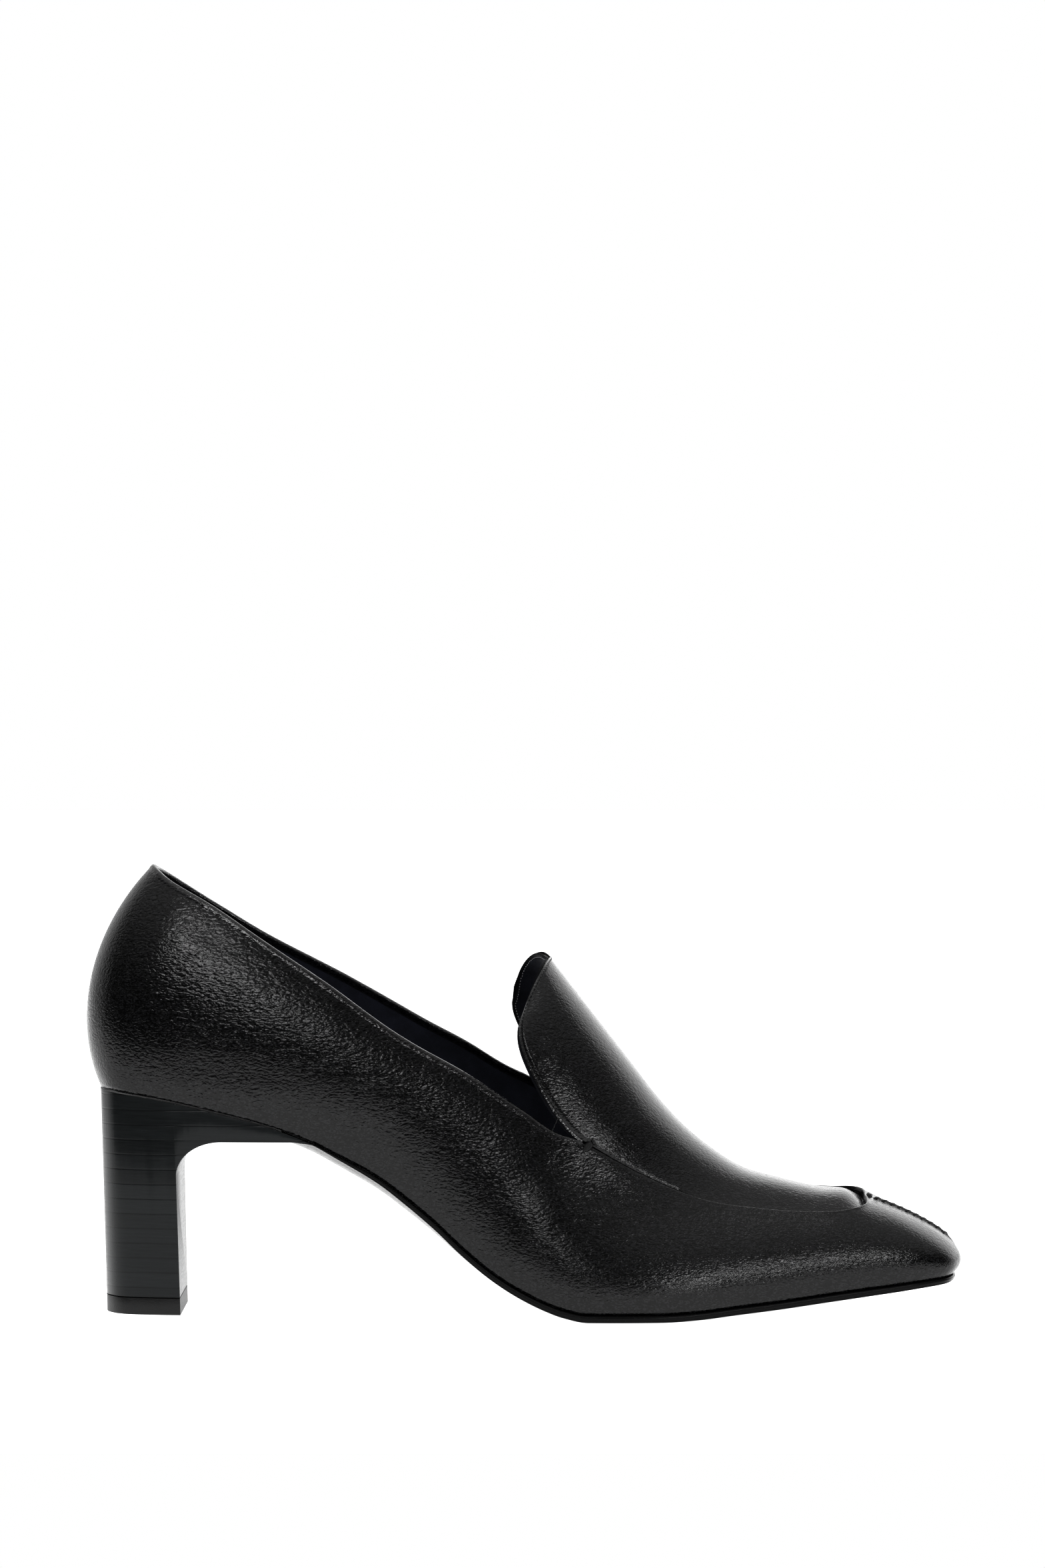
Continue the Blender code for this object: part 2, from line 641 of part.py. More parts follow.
def find_origin():
    """The middle of the shoe's outline on the floor, in the sizes above."""
    around = [wall_point(side, t, v) for side in (LATERAL, MEDIAL)
              for t in rib_stations(0, TIP, STEPS_PER_RIB) for v in np.linspace(0, 1, WALL_STEPS + 1)]
    low, high = np.min(around, axis=0), np.max(around, axis=0)
    return np.array([(low[0] + high[0]) / 2, (low[1] + high[1]) / 2, 0.0])


ORIGIN = find_origin()


def main():
    clear_scene()
    leather = material("black_leather", (0.012, 0.012, 0.013), 0.42)
    lining = material("insole_lining", (0.016, 0.017, 0.024), 0.75)
    sole_shade = material("outsole_edge", (0.014, 0.014, 0.015), 0.35)
    stack = material("heel_stack", (0.022, 0.023, 0.024), 0.45)
    rubber = material("lift_rubber", (0.012, 0.012, 0.012), 0.6)

    upper = upper_surface().to_object("upper", leather)
    wall = upper.modifiers.new("wall", "SOLIDIFY")
    wall.thickness = UPPER_WALL
    wall.offset = -1.0
    wall.use_even_offset = True

    insole().to_object("insole", lining)
    outsole().to_object("outsole", sole_shade)

    cutter = arch_cutter()
    heel = heel_block(None, LIFT_THICKNESS + GAP).to_object("heel", stack)
    cut(heel, cutter)
    lift = heel_block(LIFT_THICKNESS, 0.0).to_object("top_lift", rubber)
    cut(lift, cutter)


if __name__ == "__main__":
    main()
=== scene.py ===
"""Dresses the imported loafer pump: leather, lining, thread, sole and stacked heel, on a pale floor."""

import math
from collections import namedtuple

import bpy
import numpy as np
from bpy.props import FloatProperty, FloatVectorProperty, IntProperty, PointerProperty
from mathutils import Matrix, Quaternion, Vector
from mathutils.bvhtree import BVHTree


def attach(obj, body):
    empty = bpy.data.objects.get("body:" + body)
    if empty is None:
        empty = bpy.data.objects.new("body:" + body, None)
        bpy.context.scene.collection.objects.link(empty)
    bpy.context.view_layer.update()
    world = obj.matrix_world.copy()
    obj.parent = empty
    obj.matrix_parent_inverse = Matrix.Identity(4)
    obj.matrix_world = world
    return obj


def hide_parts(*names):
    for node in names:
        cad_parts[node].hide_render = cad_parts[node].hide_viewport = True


bl_info = {
    "name": "Loafer Pump",
    "version": (1, 0, 0),
    "blender": (4, 5, 0),
    "location": "View3D > Sidebar > Loafer",
    "description": "Leather, lining, thread, sole and heel of a loafer pump",
    "category": "Object",
}

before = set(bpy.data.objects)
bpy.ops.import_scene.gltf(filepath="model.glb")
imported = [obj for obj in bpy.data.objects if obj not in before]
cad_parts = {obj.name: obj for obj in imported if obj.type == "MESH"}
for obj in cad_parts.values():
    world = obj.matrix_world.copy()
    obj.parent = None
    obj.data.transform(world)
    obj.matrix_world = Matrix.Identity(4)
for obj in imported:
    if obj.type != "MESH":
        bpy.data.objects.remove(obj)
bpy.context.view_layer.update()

# Sizes of the last, in metres, as in the solids
SHOE_LENGTH = 0.2436
BALL_WIDTH = 0.0800
HEEL_HEIGHT = 0.0624
TOE_SPRING = 0.0086
BACK_HEIGHT = 0.0612
THROAT_HEIGHT = 0.0395
TOE_HEIGHT = 0.0204
INSTEP_CROWN = 0.0084
SEAT_CROWN = 0.0015
TONGUE_LENGTH = 0.0481
TONGUE_SLOPE = math.radians(52.4)
TONGUE_DEPTH = 0.0240
UPPER_WALL = 0.0018
INSOLE_THICKNESS = 0.0020
SOLE_THICKNESS = 0.0020
SOLE_ROUND = 0.0005
WAIST_CROWN = 0.0036
GAP = 0.0003
LIFT_THICKNESS = 0.0046
BASE_WIDTH = 0.0362
BASE_BACK = 0.0057
BASE_BREAST = 0.0270
BREAST_TOP = 0.0260
WING_DROP = 0.0142
WING_LENGTH = 0.0634
WING_HOLLOW = 0.0092
ARCH_LENGTH = 0.0125
ARCH_DROP = 0.0095
WING_SAG = 0.0006
CUT_MARGIN = 0.01
HEEL_ROUND = 0.0003  # roundness of the heel's and the top lift's edges
CROWN_FADE = 0.4  # share of BALL_WIDTH below which the sole's roundness fades

# The outsole's edge, from top to bottom: inset in shares of SOLE_ROUND, share of the thickness
SOLE_EDGE = [(0.9, 0.0), (-0.5, 0.03), (-0.9, 0.16), (-1.0, 0.34), (-0.9, 0.52), (-0.6, 0.62)]
SOLE_EDGE += [(-0.35, 0.66), (-0.35, 0.86), (0.1, 0.97), (1.2, 1.0)]

LATERAL, MEDIAL = -1, 1
JUNCTION, CORNER, TIP = 10, 17, 20
SOLID_RIB_STEPS, SOLID_WALL_STEPS = 3, 9

# Fineness of the dressed shoe's meshes
WALL_FINE = 7  # rows of the side wall to a rib
HEIGHT_FINE = 44  # rows up the side wall
APRON_FINE = 7  # rows of the apron to a key row
CROSS_FINE = 20  # faces across the sole and the heel
HEEL_FINE = 90  # rows along the heel
SOLE_FINE, SOLE_TIP_FINE = 110, 14  # rows along the outsole, and to a rib across its front
SOCK_FINE = 6  # rows of the sock to a rib
ARCH_FINE = 28  # faces round the arch between breast and wing
FOOT_FINE = 40  # places to a rib at which the feather line's place along the shoe is known
TOE_LINE_LOW, TOE_LINE_FINE = 0.25, 90  # share of the toe's height where its line ends; points
SEAM_ROWS = CORNER - JUNCTION

# Where the rows lie between two ribs next to the toe seam
TOE_STATIONS = (0.15, 0.3, 0.45, 0.6, 0.72, 0.8, 0.86, 0.9, 0.925, 0.945, 0.96, 0.975, 0.9875, 1.0)

# The feather line, where upper and sole meet. along: share of SHOE_LENGTH. rise: share of the
# height from ball to heel seat. spring: share of TOE_SPRING. edge: share of SOLE_THICKNESS that
# shows. waist: share of WAIST_CROWN.
Feather = namedtuple("Feather", "along rise spring edge waist")
FEATHER = [
    Feather(0.000, 1.006, 0.00, 0.22, 1.00),
    Feather(0.016, 1.000, 0.00, 0.22, 1.00),
    Feather(0.078, 0.966, 0.00, 0.22, 1.00),
    Feather(0.135, 0.916, 0.00, 0.22, 1.00),
    Feather(0.205, 0.845, 0.00, 0.22, 1.00),
    Feather(0.240, 0.797, 0.00, 0.22, 1.00),
    Feather(0.262, 0.759, 0.00, 0.24, 1.00),
    Feather(0.287, 0.709, 0.00, 0.46, 0.97),
    Feather(0.335, 0.605, 0.00, 0.78, 0.93),
    Feather(0.367, 0.511, 0.00, 0.90, 0.89),
    Feather(0.399, 0.406, 0.00, 0.96, 0.80),
    Feather(0.430, 0.291, 0.00, 1.00, 0.62),
    Feather(0.462, 0.187, 0.00, 1.00, 0.42),
    Feather(0.493, 0.109, 0.00, 1.00, 0.20),
    Feather(0.525, 0.048, 0.00, 1.00, 0.05),
    Feather(0.545, 0.020, 0.00, 1.00, 0.00),
    Feather(0.572, 0.000, 0.00, 1.00, 0.00),
    Feather(0.655, 0.000, 0.00, 1.00, 0.00),
    Feather(0.697, 0.000, 0.06, 1.00, 0.00),
    Feather(0.735, 0.000, 0.17, 1.00, 0.00),
    Feather(0.791, 0.000, 0.33, 1.00, 0.00),
    Feather(0.852, 0.000, 0.54, 1.00, 0.00),
    Feather(0.914, 0.000, 0.745, 0.95, 0.00),
    Feather(0.954, 0.000, 0.88, 0.87, 0.00),
    Feather(1.000, 0.000, 1.02, 0.80, 0.00),
]

# Ribs of the side wall, from the middle of the heel round either side to the middle of the toe.
Rib = namedtuple(
    "Rib",
    "foot foot_out foot_in lean top_out top_in rise_out rise_in low high low_lean high_lean",
)
RIBS = [
    Rib(0.0164, 0.000, 0.000, 0.0587, 0.000, 0.000, 1.000, 1.000, 0.106, 0.225, 0.00, 0.00),
    Rib(0.0205, 0.128, 0.126, 0.0600, 0.080, 0.080, 0.988, 0.988, 0.098, 0.200, 0.05, 0.05),
    Rib(0.0400, 0.230, 0.226, 0.0600, 0.158, 0.156, 0.955, 0.957, 0.080, 0.132, 0.15, 0.15),
    Rib(0.0820, 0.276, 0.272, 0.0660, 0.232, 0.224, 0.900, 0.882, 0.068, 0.086, 0.25, 0.30),
    Rib(0.1355, 0.292, 0.286, 0.0677, 0.280, 0.268, 0.830, 0.822, 0.062, 0.062, 0.33, 0.33),
    Rib(0.1970, 0.300, 0.284, 0.0759, 0.306, 0.292, 0.732, 0.768, 0.060, 0.056, 0.33, 0.33),
    Rib(0.2586, 0.300, 0.266, 0.0883, 0.328, 0.312, 0.622, 0.718, 0.062, 0.052, 0.33, 0.33),
    Rib(0.3161, 0.304, 0.252, 0.0985, 0.346, 0.332, 0.604, 0.712, 0.066, 0.044, 0.33, 0.33),
    Rib(0.3736, 0.328, 0.262, 0.1026, 0.364, 0.352, 0.643, 0.766, 0.072, 0.042, 0.33, 0.33),
    Rib(0.4331, 0.375, 0.302, 0.0944, 0.378, 0.368, 0.784, 0.958, 0.070, 0.048, 0.33, 0.33),
    Rib(0.4926, 0.430, 0.372, 0.0739, 0.372, 0.362, 1.000, 1.134, 0.066, 0.064, 0.33, 0.33),
    Rib(0.5542, 0.470, 0.446, 0.0616, 0.346, 0.338, 1.040, 1.158, 0.064, 0.084, 0.33, 0.33),
    Rib(0.6158, 0.478, 0.476, 0.0493, 0.326, 0.320, 0.962, 1.082, 0.062, 0.096, 0.33, 0.33),
    Rib(0.6814, 0.456, 0.466, 0.0328, 0.309, 0.306, 0.904, 1.022, 0.062, 0.098, 0.33, 0.33),
    Rib(0.7512, 0.402, 0.426, 0.0123, 0.292, 0.290, 0.868, 0.981, 0.062, 0.090, 0.30, 0.33),
    Rib(0.8210, 0.346, 0.370, -0.0082, 0.274, 0.274, 0.842, 0.963, 0.062, 0.080, 0.20, 0.33),
    Rib(0.8908, 0.298, 0.318, -0.0390, 0.253, 0.256, 0.846, 0.967, 0.060, 0.072, 0.10, 0.33),
    Rib(0.9442, 0.265, 0.282, -0.0657, 0.212, 0.219, 0.890, 0.996, 0.056, 0.074, 0.03, 0.33),
    Rib(0.9770, 0.215, 0.228, -0.0850, 0.150, 0.156, 0.936, 1.004, 0.066, 0.110, 0.00, 0.28),
    Rib(0.9895, 0.118, 0.124, -0.0946, 0.080, 0.083, 0.980, 1.006, 0.084, 0.186, 0.00, 0.10),
    Rib(0.9918, 0.000, 0.000, -0.0977, 0.000, 0.000, 1.008, 1.008, 0.090, 0.222, 0.00, 0.00),
]
LOW_SHARE, HIGH_SHARE = 0.29, 0.30

# Ridge of the apron over its seams, at ribs 10 to 16. The last two crowns are lower than in the
# solids, so that the apron lies under the side panel's folded edge.
Ridge = namedtuple("Ridge", "lead crown steep")
RIDGE = [
    Ridge(0.0862, 1.00, 0.12),
    Ridge(0.0677, 0.90, 0.16),
    Ridge(0.0493, 0.86, 0.22),
    Ridge(0.0369, 0.70, 0.28),
    Ridge(0.0287, 0.58, 0.32),
    Ridge(0.0226, 0.41, 0.34),
    Ridge(0.0172, 0.345, 0.34),
]
ROUND_ROW = 0.56
FRONT_ROWS = 1.5  # rows over which the apron's front follows the seam across the toe

# Tongue above the throat, in the plane of its ridge
Tongue = namedtuple("Tongue", "ridge up_out deep_out wide_out up_in deep_in wide_in bow_out bow_in")
TONGUE = [
    Tongue(0.220, 0.290, 1.00, 0.366, 0.380, 0.86, 0.356, 0.000, 0.000),
    Tongue(0.437, 0.510, 0.95, 0.358, 0.590, 0.83, 0.346, 0.000, 0.000),
    Tongue(0.649, 0.700, 0.86, 0.338, 0.780, 0.76, 0.326, 0.002, 0.008),
    Tongue(0.840, 0.820, 0.73, 0.304, 0.905, 0.68, 0.292, 0.006, 0.028),
    Tongue(1.000, 0.890, 0.55, 0.246, 0.985, 0.56, 0.240, 0.014, 0.066),
]

# Profile across the seam, from the side panel's top over its folded edge and down into the
# seam, and up to the apron's edge. Both are shares of the seam's depth: inward across the seam,
# and down from the panel's top. At the throat the apron swells over the seam, at the toe it
# lies below the panel's edge.
Fold = namedtuple("Fold", "throat_in throat_down toe_in toe_down")
SEAM_FOLD = [
    Fold(0.00, 0.00, 0.00, 0.00),
    Fold(0.12, -0.12, 0.12, -0.17),
    Fold(0.28, -0.18, 0.28, -0.28),
    Fold(0.44, -0.14, 0.46, -0.29),
    Fold(0.56, 0.00, 0.60, -0.18),
    Fold(0.63, 0.22, 0.69, 0.05),
    Fold(0.67, 0.60, 0.72, 0.45),
    Fold(0.75, 0.98, 0.74, 0.90),
    Fold(0.92, 1.10, 0.78, 1.25),
    Fold(1.10, 0.88, 0.86, 1.42),
    Fold(1.14, 0.40, 0.95, 1.42),
    Fold(1.00, 0.00, 1.02, 1.30),
    Fold(0.78, -0.32, 1.07, 1.15),
]
SEAM_END = Fold(0.58, -0.55, 1.10, 1.00)

SEAM_DEPTH = 0.0014  # how far the folded side panel stands over the apron at the toe
THROAT_SHARE = 0.82  # share of that depth at the throat
DEEPEN_RIBS = 7  # ribs over which the seam reaches its full depth
TOE_FOLD_FROM, TOE_FOLD_RIBS = 11, 5  # rib where the toe's profile starts to take over, and its ribs
TURN_RIBS = 1.5  # ribs past the corner over which the seam turns across the shoe

# The seam's inner side stands higher near the toe. It rises from one rib and falls from another.
FAR_EDGE = 0.0006
FAR_RISE_FROM, FAR_RISE_RIBS = 13, 2
FAR_FALL_FROM, FAR_FALL_RIBS = 18.5, 1.5

# The topline's fold: its low swelling over the outer face, as (out, deep)
TOPLINE_SWELL = [(-0.0016, 0.00003), (-0.0013, -0.00006), (-0.0009, -0.00015), (-0.0005, -0.00018)]

# The whipped seam down the middle of the toe
KNOT_PLACE = 0.2188  # from the back of the shoe to the knot where apron and toe seam meet
WHIP_END = 0.0175  # height at which the seam runs out
LIP_FADE, LIP_END_FADE = 0.003, 0.004  # lengths over which its lips rise, and run out
TOE_RIDGE = 0.0006  # height of the lips
LIP_PLACE, LIP_WIDTH = 0.00055, 0.00042  # from the middle line to a lip, and the lip's width
TOE_FALL = 0.0006  # how far the toe falls away on the inner side of the seam
FALL_FROM, FALL_WIDTH = 0.0008, 0.003  # where that fall starts, across, and how soon it is full
FALL_END, FALL_FADE = 0.016, 0.010  # where it ends, and over which width

# Threads
WHIP_RADIUS, TACK_RADIUS, STITCH_RADIUS, BOBBIN_RADIUS = 0.00030, 0.00027, 0.00014, 0.00012
THREAD_SINK = 0.0003  # how deep the ends of a loop go into the leather
WHIP_START = 0.0030  # from the knot's place to the first whip stitch
WHIP_HALF, WHIP_SLANT, WHIP_SINK = 0.0013, 0.0022, 0.00012
KNOT_TURNS = (-0.0016, -0.0011, -0.0006, -0.0001, 0.0004, 0.0009)
KNOT_HALF, KNOT_SLANT, KNOT_RISE = 0.0014, 0.0006, 0.0001
STITCH_START = 0.11  # share of a pitch before a machine stitch
BARE_ENDS = 12  # stitches left out at either end of the row behind the tongue
TACK_PLACE, TACK_DROP = 10.12, 0.0005  # rib of the corner tack and its drop below the seam
TACK_HALF, TACK_WIDE = 0.0017, 0.00095  # half its length, and half its width at the middle
TACK_FIRST, TACK_STEP, TACK_TURNS = -0.0015, 0.0004, 8  # its first turn, and from turn to turn
TACK_TAIL = [(0.0020, 0.0006), (0.0023, 0.0007)]  # place and half width of the turns past its end
TACK_SLANT = 0.0003

# Finishes
LEATHER_SHINE, FOLD_SHINE = 0.5, 0.9  # specular level of the leather and of its pressed edges
FOLD_GLOSS = 0.16  # roughness of those edges
FINER = 1.7  # how much finer the grain is on the toe
FLATTER = 0.12  # how much lower it is there
FINER_FROM = (-0.03, 0.04)  # where the grain changes, along the shoe

# Studio
VIEW_GAMMA = 0.75  # gives the deep blacks of the leather
FLOOR_FRONT = 0.30  # from the shoe to the floor's edge on the camera's side
FLOOR_REACH = 6.0  # from the shoe to the floor's other edges
FLOOR_GLOW = 1.1
SIDE_LIGHT = (0.02, 0.50)  # how far behind the shoe the bright back of the studio starts, and is full
TOP_LIGHT = (0.30, 0.85)  # how high over the shoe its bright top starts, and is full
DIM, BRIGHT = 0.06, 0.85  # strength low on the camera's side, and how much the top adds

# Softboxes: size in metres, power in watts, and roll about the line to the shoe, in radians
Softbox = namedtuple("Softbox", "name place width height watts roll")
SOFTBOXES = [
    Softbox("strip_softbox", (-0.20, -0.50, 0.33), 0.44, 0.075, 0.76, -0.71),
    Softbox("toe_softbox", (0.28, -0.50, 0.155), 0.30, 0.065, 0.66, 0.56),
    Softbox("edge_softbox", (-0.05, -0.22, 1.30), 1.10, 0.09, 1.0, 0.0),
    Softbox("back_softbox", (0.52, 0.92, 0.50), 1.20, 0.90, 3.6, 0.0),
]
SOFTBOX_AIM = (0.0, 0.0, 0.05)

# Soft creases of the side wall, in metres along the shoe from its back and up from the floor.
# depth is positive for a trough and negative for a ridge.
Crease = namedtuple("Crease", "side x0 z0 x1 z1 depth width")
CREASES = [
    Crease(LATERAL, 0.0300, 0.1085, 0.0420, 0.0995, 0.00014, 0.0026),
    Crease(LATERAL, 0.0360, 0.0990, 0.0500, 0.0900, -0.00012, 0.0034),
    Crease(LATERAL, 0.1290, 0.0450, 0.1450, 0.0330, 0.00040, 0.0045),
    Crease(LATERAL, 0.1400, 0.0440, 0.1620, 0.0330, -0.00035, 0.0040),
    Crease(LATERAL, 0.0240, 0.0700, 0.0600, 0.0660, 0.00018, 0.0040),
]


def smooth(t):
    t = min(1.0, max(0.0, t))
    return t * t * (3 - 2 * t)


def eased(values):
    """smooth for an array."""
    values = np.clip(values, 0.0, 1.0)
    return values * values * (3 - 2 * values)


def through(before, first, second, after, t):
    """A point on the smooth curve from first to second, which passes through all four."""
    return 0.5 * (
        2 * first
        + (second - before) * t
        + (2 * before - 5 * first + 4 * second - after) * t * t
        + (3 * first - before - 3 * second + after) * t ** 3
    )


def bezier(a, b, c, d, t):
    s = 1 - t
    return s ** 3 * a + 3 * s * s * t * b + 3 * s * t * t * c + t ** 3 * d


def unit(vector):
    length = np.linalg.norm(vector)
    return vector / length if length else vector


def limited(slopes, i):
    """The slope at key i: the harmonic mean of its neighbours', and 0 at a turn."""
    if i == 0 or i == len(slopes):
        return slopes[min(i, len(slopes) - 1)]
    before, after = slopes[i - 1], slopes[i]
    same = before * after > 0
    total = np.where(same, before + after, 1.0)
    return np.where(same, 2 * before * after / total, 0.0)


FEATHER_KEYS = np.array(FEATHER)
FEATHER_SPANS = np.diff(FEATHER_KEYS[:, 0])
FEATHER_SLOPES = np.diff(FEATHER_KEYS, axis=0) / FEATHER_SPANS[:, None]


def feather_row(x):
    """The Feather row at x, by a monotone cubic, so that flat stretches stay flat."""
    at = min(1.0, max(0.0, x / SHOE_LENGTH))
    i = int(np.searchsorted(FEATHER_KEYS[:, 0], at, side="right")) - 1
    i = min(max(i, 0), len(FEATHER) - 2)
    wide = FEATHER_SPANS[i]
    share = (at - FEATHER_KEYS[i, 0]) / wide
    s2, s3 = share ** 2, share ** 3
    row = (
        (2 * s3 - 3 * s2 + 1) * FEATHER_KEYS[i]
        + (s3 - 2 * s2 + share) * wide * limited(FEATHER_SLOPES, i)
        + (3 * s2 - 2 * s3) * FEATHER_KEYS[i + 1]
        + (s3 - s2) * wide * limited(FEATHER_SLOPES, i + 1)
    )
    return Feather(*row)


def sole_line(x):
    """Height of the outsole's lower edge."""
    row = feather_row(x)
    return row.rise * (HEEL_HEIGHT - SOLE_THICKNESS) + row.spring * TOE_SPRING


def last_bottom(x, crown=0.0):
    """Height of the bottom of the last. crown is 0 on the edge and 1 on the middle line."""
    return sole_line(x) + SOLE_THICKNESS - SEAT_CROWN * feather_row(x).waist * crown


def outsole_bottom(x, crown):
    row = feather_row(x)
    return sole_line(x) + SOLE_THICKNESS * (1 - row.edge) - WAIST_CROWN * row.waist * crown


def crown_at(outer, inner, across):
    """How full the roundness is between two edge points. It fades where the shoe ends."""
    full = smooth((inner[1] - outer[1]) / (CROWN_FADE * BALL_WIDTH))
    return full * (1 - across ** 2)


def wall_height(x):
    """Height of the side wall over the feather line, between heel, throat and toe."""
    heel = RIBS[0].foot * SHOE_LENGTH
    throat = RIBS[JUNCTION].foot * SHOE_LENGTH
    toe = RIBS[TIP].foot * SHOE_LENGTH
    if x < throat:
        share = (x - heel) / (throat - heel)
        return BACK_HEIGHT + share * (THROAT_HEIGHT - BACK_HEIGHT)
    share = (x - throat) / (toe - throat)
    return THROAT_HEIGHT + share * (TOE_HEIGHT - THROAT_HEIGHT)


WIDTHS = [name in ("foot_out", "foot_in", "top_out", "top_in") for name in Rib._fields]
MIRROR = np.where(WIDTHS, -1.0, 1.0)
RIB_KEYS = np.array(RIBS)


def rib_row(t):
    """The Rib row at t, from 0 at the heel to TIP at the toe, mirrored past either end."""
    i = min(int(t), TIP - 1)
    before = RIB_KEYS[i - 1] if i else RIB_KEYS[1] * MIRROR
    after = RIB_KEYS[i + 2] if i + 2 <= TIP else RIB_KEYS[TIP - 1] * MIRROR
    return Rib(*through(before, RIB_KEYS[i], RIB_KEYS[i + 1], after, t - i))


def foot_point(side, t):
    """A point of the feather line, at the foot of rib t."""
    row = rib_row(t)
    wide = row.foot_out if side == LATERAL else row.foot_in
    x = row.foot * SHOE_LENGTH
    return np.array([x, side * wide * BALL_WIDTH, last_bottom(x)])


def outward(side, t):
    """The level direction square to the feather line, away from the foot."""
    near = 0.02
    low, high = max(0.0, t - near), min(float(TIP), t + near)
    run = foot_point(side, high) - foot_point(side, low)
    if t < near or t > TIP - near:
        run[0] = 0.0
    return unit(np.array([-side * run[1], side * run[0], 0.0]))


def rib_controls(side, t):
    """Foot, two control points and top of the rib at t."""
    row = rib_row(t)
    foot = foot_point(side, t) + [0, 0, GAP]
    top_wide = row.top_out if side == LATERAL else row.top_in
    rise_share = row.rise_out if side == LATERAL else row.rise_in
    rise = rise_share * wall_height(foot[0])
    lean = row.lean * SHOE_LENGTH
    top = np.array([foot[0] + lean, side * top_wide * BALL_WIDTH, foot[2] + rise])
    if side == MEDIAL:
        risen = smooth((t - FAR_RISE_FROM) / FAR_RISE_RIBS)
        top[2] += FAR_EDGE * risen * (1 - smooth((t - FAR_FALL_FROM) / FAR_FALL_RIBS))
    away = outward(side, t)
    low = foot + away * row.low * BALL_WIDTH + [row.low_lean * lean, 0, LOW_SHARE * rise]
    high = top + away * row.high * BALL_WIDTH - [row.high_lean * lean, 0, HIGH_SHARE * rise]
    return foot, low, high, top


def wall_rib(side, t, heights):
    """Points of the outer side wall up rib t."""
    controls = rib_controls(side, t)
    return [bezier(*controls, v) for v in heights]


def seam_frame(side, t):
    """The seam's depth at rib t and its inward direction."""
    full = smooth((t - JUNCTION) / DEEPEN_RIBS)
    depth = SEAM_DEPTH * (THROAT_SHARE + (1 - THROAT_SHARE) * full)
    turn = smooth((t - CORNER) / TURN_RIBS)
    return depth, np.array([-turn, -side * (1 - turn), 0.0])


def seam_point(side, t, fold):
    """A point of the seam's profile over rib t."""
    depth, inward = seam_frame(side, t)
    toe = smooth((t - TOE_FOLD_FROM) / TOE_FOLD_RIBS)
    across = fold.throat_in + toe * (fold.toe_in - fold.throat_in)
    down = fold.throat_down + toe * (fold.toe_down - fold.throat_down)
    top = rib_controls(side, t)[3]
    return top + depth * (across * inward + [0, 0, -down])


def seam_edge(side, t):
    """The apron's edge, below the side panel's fold."""
    return seam_point(side, t, SEAM_END)


def ridge_point(rib):
    """The apron's ridge over rib 10 to 16."""
    row = RIDGE[rib - JUNCTION]
    middle = (rib_controls(LATERAL, rib)[3] + rib_controls(MEDIAL, rib)[3]) / 2
    return np.array([
        middle[0] + row.lead * SHOE_LENGTH,
        0.0,
        middle[2] + row.crown * INSTEP_CROWN,
    ])


def tongue_point(along, deep, y):
    """A point given by its distance up the tongue's ridge and square to it, below."""
    origin = ridge_point(JUNCTION)
    up = np.array([-math.cos(TONGUE_SLOPE), 0.0, math.sin(TONGUE_SLOPE)])
    below = np.array([-math.sin(TONGUE_SLOPE), 0.0, -math.cos(TONGUE_SLOPE)])
    point = origin + up * along * TONGUE_LENGTH + below * deep * TONGUE_DEPTH
    return point + np.array([0.0, y * BALL_WIDTH, 0.0])


KeyRow = namedtuple("KeyRow", "outer ridge inner steep bow_out bow_in")


def apron_keys():
    """The key rows of apron and tongue, from the apron's front to the tongue's top."""
    still = np.zeros(3)
    front = seam_edge(LATERAL, TIP)
    corners = seam_edge(LATERAL, CORNER), seam_edge(MEDIAL, CORNER)
    keys = [KeyRow(corners[0], front, corners[1], RIDGE[-1].steep, still, still)]
    for rib in range(CORNER - 1, JUNCTION - 1, -1):
        edges = seam_edge(LATERAL, rib), seam_edge(MEDIAL, rib)
        steep = RIDGE[rib - JUNCTION].steep
        keys.append(KeyRow(edges[0], ridge_point(rib), edges[1], steep, still, still))
    for row in TONGUE:
        keys.append(KeyRow(
            tongue_point(row.up_out, row.deep_out, -row.wide_out),
            tongue_point(row.ridge, 0.0, 0.0),
            tongue_point(row.up_in, row.deep_in, row.wide_in),
            RIDGE[0].steep,
            tongue_point(row.bow_out, 0.0, 0.0) - tongue_point(0.0, 0.0, 0.0),
            tongue_point(row.bow_in, 0.0, 0.0) - tongue_point(0.0, 0.0, 0.0),
        ))
    return keys


def arch(edge, ridge, steep, bow, share):
    """Half a row of the apron: a round arch from its edge, at share 0, to the ridge, at 1."""
    leave = edge + (ridge - edge) * [ROUND_ROW, steep, ROUND_ROW]
    arrive = ridge + (edge - ridge) * [0.0, ROUND_ROW, 0.0]
    return bezier(edge, leave, arrive, ridge, share) + bow * 4 * share * (1 - share)


def key_value(keys, name, s):
    """One column of the key rows at s, from 0 at the apron's front to the tongue's top."""
    values = [getattr(key, name) for key in keys]
    i = min(int(s), len(values) - 2)
    before = values[i - 1] if i else 2 * values[0] - values[1]
    after = values[i + 2] if i + 2 < len(values) else 2 * values[-1] - values[-2]
    return through(before, values[i], values[i + 1], after, s - i)


